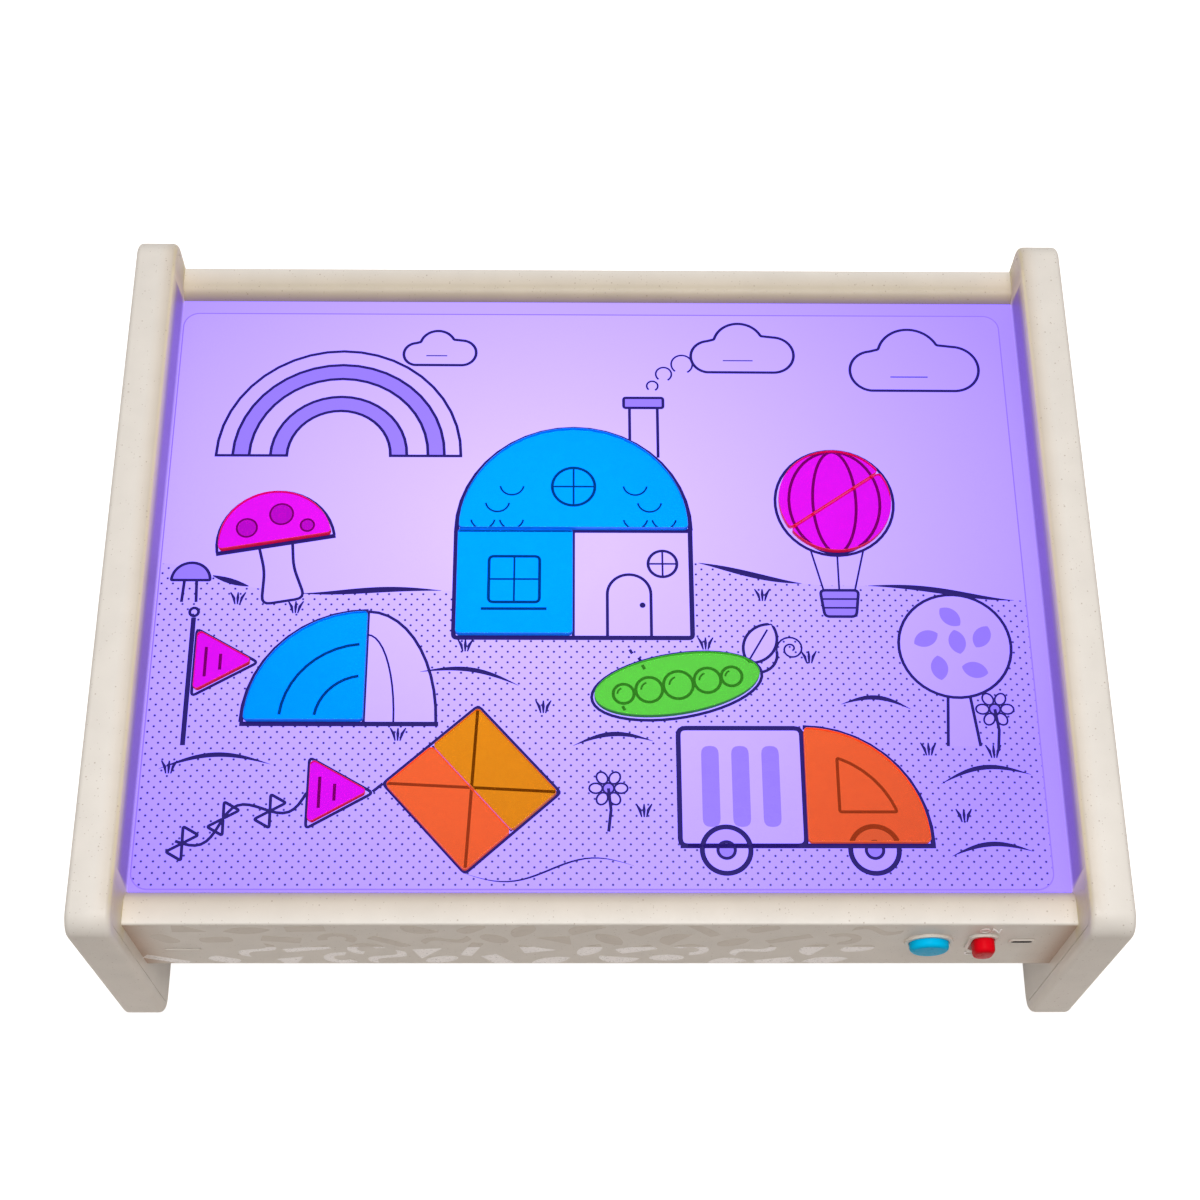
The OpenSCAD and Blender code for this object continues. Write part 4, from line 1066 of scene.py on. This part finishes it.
def scatter(seed, low_x, high_x):
    """Bits on a shaken grid between two places along a wall, clear of the latch window."""
    chance = random.Random(seed)
    kinds = len(CUT_BITS) + len(WHOLE_BITS)
    bag, placed, taken = [], [], [reaches(LATCH_WINDOW)]
    for row, height in enumerate(PRINT_ROWS):
        x = low_x + PRINT_STEP * 0.5 * (row % 2)
        while x < high_x:
            if not bag:
                bag = chance.sample(range(kinds), kinds)
            kind = bag.pop()
            for _ in range(PRINT_TRIES):
                place = (x + chance.uniform(-PRINT_SHAKE, PRINT_SHAKE),
                         height + chance.uniform(-PRINT_SHAKE, PRINT_SHAKE))
                turn = chance.uniform(-PRINT_TURN, PRINT_TURN) + 180 * chance.randint(0, 1)
                if kind < len(CUT_BITS):
                    path = clipped(moved(CUT_BITS[kind], place, turn), PRINT_LOW, PRINT_HIGH)
                else:
                    path = moved(WHOLE_BITS[kind - len(CUT_BITS)], place, turn)
                    low, high = min(y for _, y in path), max(y for _, y in path)
                    path = moved(path, (0, max(0, PRINT_LOW - low) - max(0, high - PRINT_HIGH)))
                reach = reaches(path)
                if all(apart(reach, other) for other in taken):
                    placed.append(path)
                    taken.append(reach)
                    break
            x += PRINT_STEP
    return placed


def print_wall(name, paths, sideways, wall):
    """Slips of mesh on a wall: sideways is +1 for the front wall and -1 for the back."""
    shape = raised(paths, -PRINT_DEPTH, PRINT_DEPTH, MM)
    bmesh.ops.recalc_face_normals(shape, faces=shape.faces)
    bmesh.ops.bisect_plane(shape, geom=shape.verts[:] + shape.edges[:] + shape.faces[:],
                           plane_co=(0, PRINT_SHADE_SPLIT * MM, 0), plane_no=(0, 1, 0))
    # Faces above the split get the painted shade, faces below the painted reflection.
    in_painted_shade = [face.calc_center_median().y > PRINT_SHADE_SPLIT * MM for face in shape.faces]
    mesh = bpy.data.meshes.new(name)
    shape.to_mesh(mesh)
    mesh.transform(Matrix(((sideways, 0, 0, 0), (0, 0, -sideways, wall * MM),
                           (0, 1, 0, 0), (0, 0, 0, 1))))
    link_piece(name, mesh, "table", print_painted_reflection)
    mesh.materials.append(print_painted_shade)
    mesh.polygons.foreach_set("material_index", [int(high) for high in in_painted_shade])


def print_finish(name, colour, rough, gloss_level):
    """The print's paint, with the wall's specks in it."""
    finish, shader = new_finish(name, colour, rough, Specular_IOR_Level=gloss_level)
    paint = mottled(finish, shader, colour, 150, 0.03)
    connect(finish, speckled(finish, paint, *PRINT_SPECKS), shader, "Base Color")
    add_skin(finish, shader, 900, 0.00002, rough - 0.05, rough + 0.05)
    return finish


# The pale tone is a painted reflection of the floor, the dark tone is painted shade.
print_painted_reflection = print_finish("print_painted_reflection", tone(253, 245, 242), 0.3, 0.6)
print_painted_shade = print_finish("print_painted_shade", tone(214, 202, 188), 0.45, 0.4)
front_bits = scatter(FRONT_SEED, *FRONT_REACH)
print_wall("front_print", front_bits, 1, WALL_FRONT)
back_bits = scatter(BACK_SEED, *BACK_REACH)
print_wall("back_print", back_bits, -1, WALL_BACK)
print("printed", len(front_bits), "bits in front and", len(back_bits), "behind")

# %% [markdown]
# ## Button, knob and words
# The round button changes the light and the knob switches it. Both are glossy coloured plastic.
# The words by the knob are raised from the wall and take the print's pale finish, a painted
# highlight. Text is a curve in Blender, so it is made a mesh, and its place goes into that mesh.
# The
# power inlet is a dark slit: a thin black liner in the wall's opening is painted shade, standing in
# for the shade inside a socket's mouth.

# %% Button, knob and words
SWITCH_X = 150.5
WORDS = {"ON": (97.8, 8.0), "OFF": (67.5, 10.4)}
WORD_DEPTH = 0.3
WORD_STRETCH = 1.4
LETTER_DEPTH = 0.02
CONTROL_EDGE = 0.2 * MM
INLET_PLACE = (165.3, 83.8)
INLET_SIZE = (8.26, 2.66)
INLET_LINER = 0.3
INLET_REACH = (-0.3, 2.4)


def gloss(name, colour, rough):
    """A coloured glossy plastic with slight unevenness."""
    finish, shader = new_finish(name, colour, rough, Specular_IOR_Level=0.12, IOR=1.15)
    mottled(finish, shader, colour, 200, 0.04)
    add_skin(finish, shader, 400, 0.00001, rough - 0.05, rough + 0.08)
    return finish


soften("colour_button", "button",
       gloss("button_plastic", tone(4, 198, 252), 0.28), CONTROL_EDGE)
soften("power_knob", "switch_knob",
       gloss("knob_plastic", tone(228, 10, 28), 0.28), CONTROL_EDGE)

for word, (middle_z, width) in WORDS.items():
    letters = bpy.data.curves.new(word, "FONT")
    letters.body = word
    letters.align_x = "CENTER"
    letters.align_y = "CENTER"
    letters.extrude = LETTER_DEPTH
    mesh = curve_mesh(letters)
    across = [v.co.x for v in mesh.vertices]
    size = width / (max(across) - min(across))
    mesh.transform(Matrix(((size * MM, 0, 0, SWITCH_X * MM),
                           (0, 0, -WORD_DEPTH * MM / LETTER_DEPTH, WALL_FRONT * MM),
                           (0, size * WORD_STRETCH * MM, 0, middle_z * MM), (0, 0, 0, 1))))
    # The pale finish gives the words a painted highlight.
    link_piece("word_" + word.lower(), mesh, "table", print_painted_reflection)


def slot_path(width, height):
    """Points round a slot with round ends, about its middle."""
    end = (width - height) / 2
    return arc((end, 0), height / 2, -90, 90) + arc((-end, 0), height / 2, 90, 270)


# The black liner is painted shade inside the inlet.
liner, liner_shader = new_finish("inlet_painted_shade", tone(10, 5, 16), 0.7, Specular_IOR_Level=0.1)
add_skin(liner, liner_shader, 700, 0.00005, 0.5, 0.7)
liner_shape = bmesh.new()
rings = []
for inset in (0, INLET_LINER):
    path = moved(slot_path(INLET_SIZE[0] - 2 * inset, INLET_SIZE[1] - 2 * inset), INLET_PLACE)
    for y in INLET_REACH:
        rings.append([liner_shape.verts.new((x * MM, (WALL_FRONT + y) * MM, z * MM))
                      for x, z in path])
outer_front, outer_back, inner_front, inner_back = rings
for one, other in ((outer_front, outer_back), (outer_back, inner_back),
                   (inner_back, inner_front), (inner_front, outer_front)):
    for i in range(len(one)):
        liner_shape.faces.new((one[i - 1], one[i], other[i], other[i - 1]))
bmesh.ops.recalc_face_normals(liner_shape, faces=liner_shape.faces)
liner_mesh = bpy.data.meshes.new("inlet_liner")
liner_shape.to_mesh(liner_mesh)
smooth_faces(liner_mesh)
link_piece("inlet_liner", liner_mesh, "table", liner)
print("button, knob, words", list(WORDS), "and the inlet's liner")

# %% [markdown]
# ## Parts inside and below
# Screws, boards, cells, wires and pads are seen only from below or with the battery door open, and
# each still has its own stuff: metal with fine scratches, board with copper tracks, rubber, wire
# insulation. They keep their CAD shapes and get finishes made by one helper.

# %% Parts inside and below
STUFFS = {
    "zinc_steel": (tone(178, 180, 184), 0.32, 1.0, 900, 0.06,
                   ("panel_screws", "bottom_cover_screws", "board_screws", "battery_contacts",
                    "battery_door_screw", "battery_nut_plate", "slide_switch")),
    "black_nickel": (tone(42, 40, 46), 0.4, 0.6, 900, 0.06, ("power_inlet",)),
    "foot_rubber": (tone(70, 68, 66), 0.85, 0.0, 600, 0.12, ("foot_pads",)),
    "white_moulding": (tone(236, 236, 232), 0.5, 0.0, 300, 0.03,
                       ("reflector_tray", "button_plunger")),
    "lamp_resin": (tone(236, 220, 150), 0.2, 0.0, 800, 0.05, ("leds",)),
    "black_moulding": (tone(34, 34, 36), 0.55, 0.0, 700, 0.15,
                       ("button_switch", "inlet_tongue", "battery_box")),
    "red_insulation": (tone(190, 30, 28), 0.4, 0.0, 500, 0.08, ("battery_leads",)),
    "black_insulation": (tone(30, 30, 32), 0.4, 0.0, 500, 0.12, ("led_leads",))}
for name, (colour, rough, metal, scale, change, nodes) in STUFFS.items():
    stuff, shader = new_finish(name, colour, rough, Metallic=metal)
    mottled(stuff, shader, colour, scale / 6, change)
    add_skin(stuff, shader, scale, 0.00008, rough * 0.8, min(1, rough * 1.25))
    for node in nodes:
        dress(node, stuff)
print("plain stuffs:", list(STUFFS))

# %% [markdown]
# Boards have tracks, which a Brick pattern gives as thin joints, and the cells have a sleeve with
# a band, which is a ramp along the cell.

# %% Boards and cells
TRACK_STEP = 400
TRACK_WIDTH = 0.04
CELL_PITCH = 51.0 * MM
CELL_BAND = ((0.0, tone(58, 62, 70)), (0.66, tone(58, 62, 70)), (0.69, tone(196, 152, 92)))


def track_board(name, mask, track):
    """A circuit board: solder mask with paler tracks."""
    board, shader = new_finish(name, mask, 0.35)
    bricks = add_node(board, "ShaderNodeTexBrick",
                      {"Vector": place_of(board), "Scale": TRACK_STEP, "Mortar Size": TRACK_WIDTH,
                       "Color1": (*mask, 1), "Color2": (*shade(mask, 0.9), 1),
                       "Mortar": (*track, 1)})
    connect(board, bricks.outputs["Color"], shader, "Base Color")
    add_skin(board, shader, 800, 0.00005, 0.3, 0.45)
    return board


dress("control_board", track_board("green_board", tone(24, 92, 56), tone(70, 150, 96)))
dress("led_board", track_board("white_board", tone(232, 234, 230), tone(196, 200, 196)))
sleeve, sleeve_shader = new_finish("cell_sleeve", tone(60, 66, 74), 0.3, Metallic=0.3)
part_way = sums(sleeve, "PINGPONG", part_of(sleeve, "X"), CELL_PITCH)
band = ramp(sleeve, span(sleeve, part_way, 0, CELL_PITCH, 0, 1), *CELL_BAND)
connect(sleeve, band, sleeve_shader, "Base Color")
add_skin(sleeve, sleeve_shader, 700, 0.00003, 0.25, 0.38)
dress("battery_cells", sleeve)
print("boards and cells dressed")
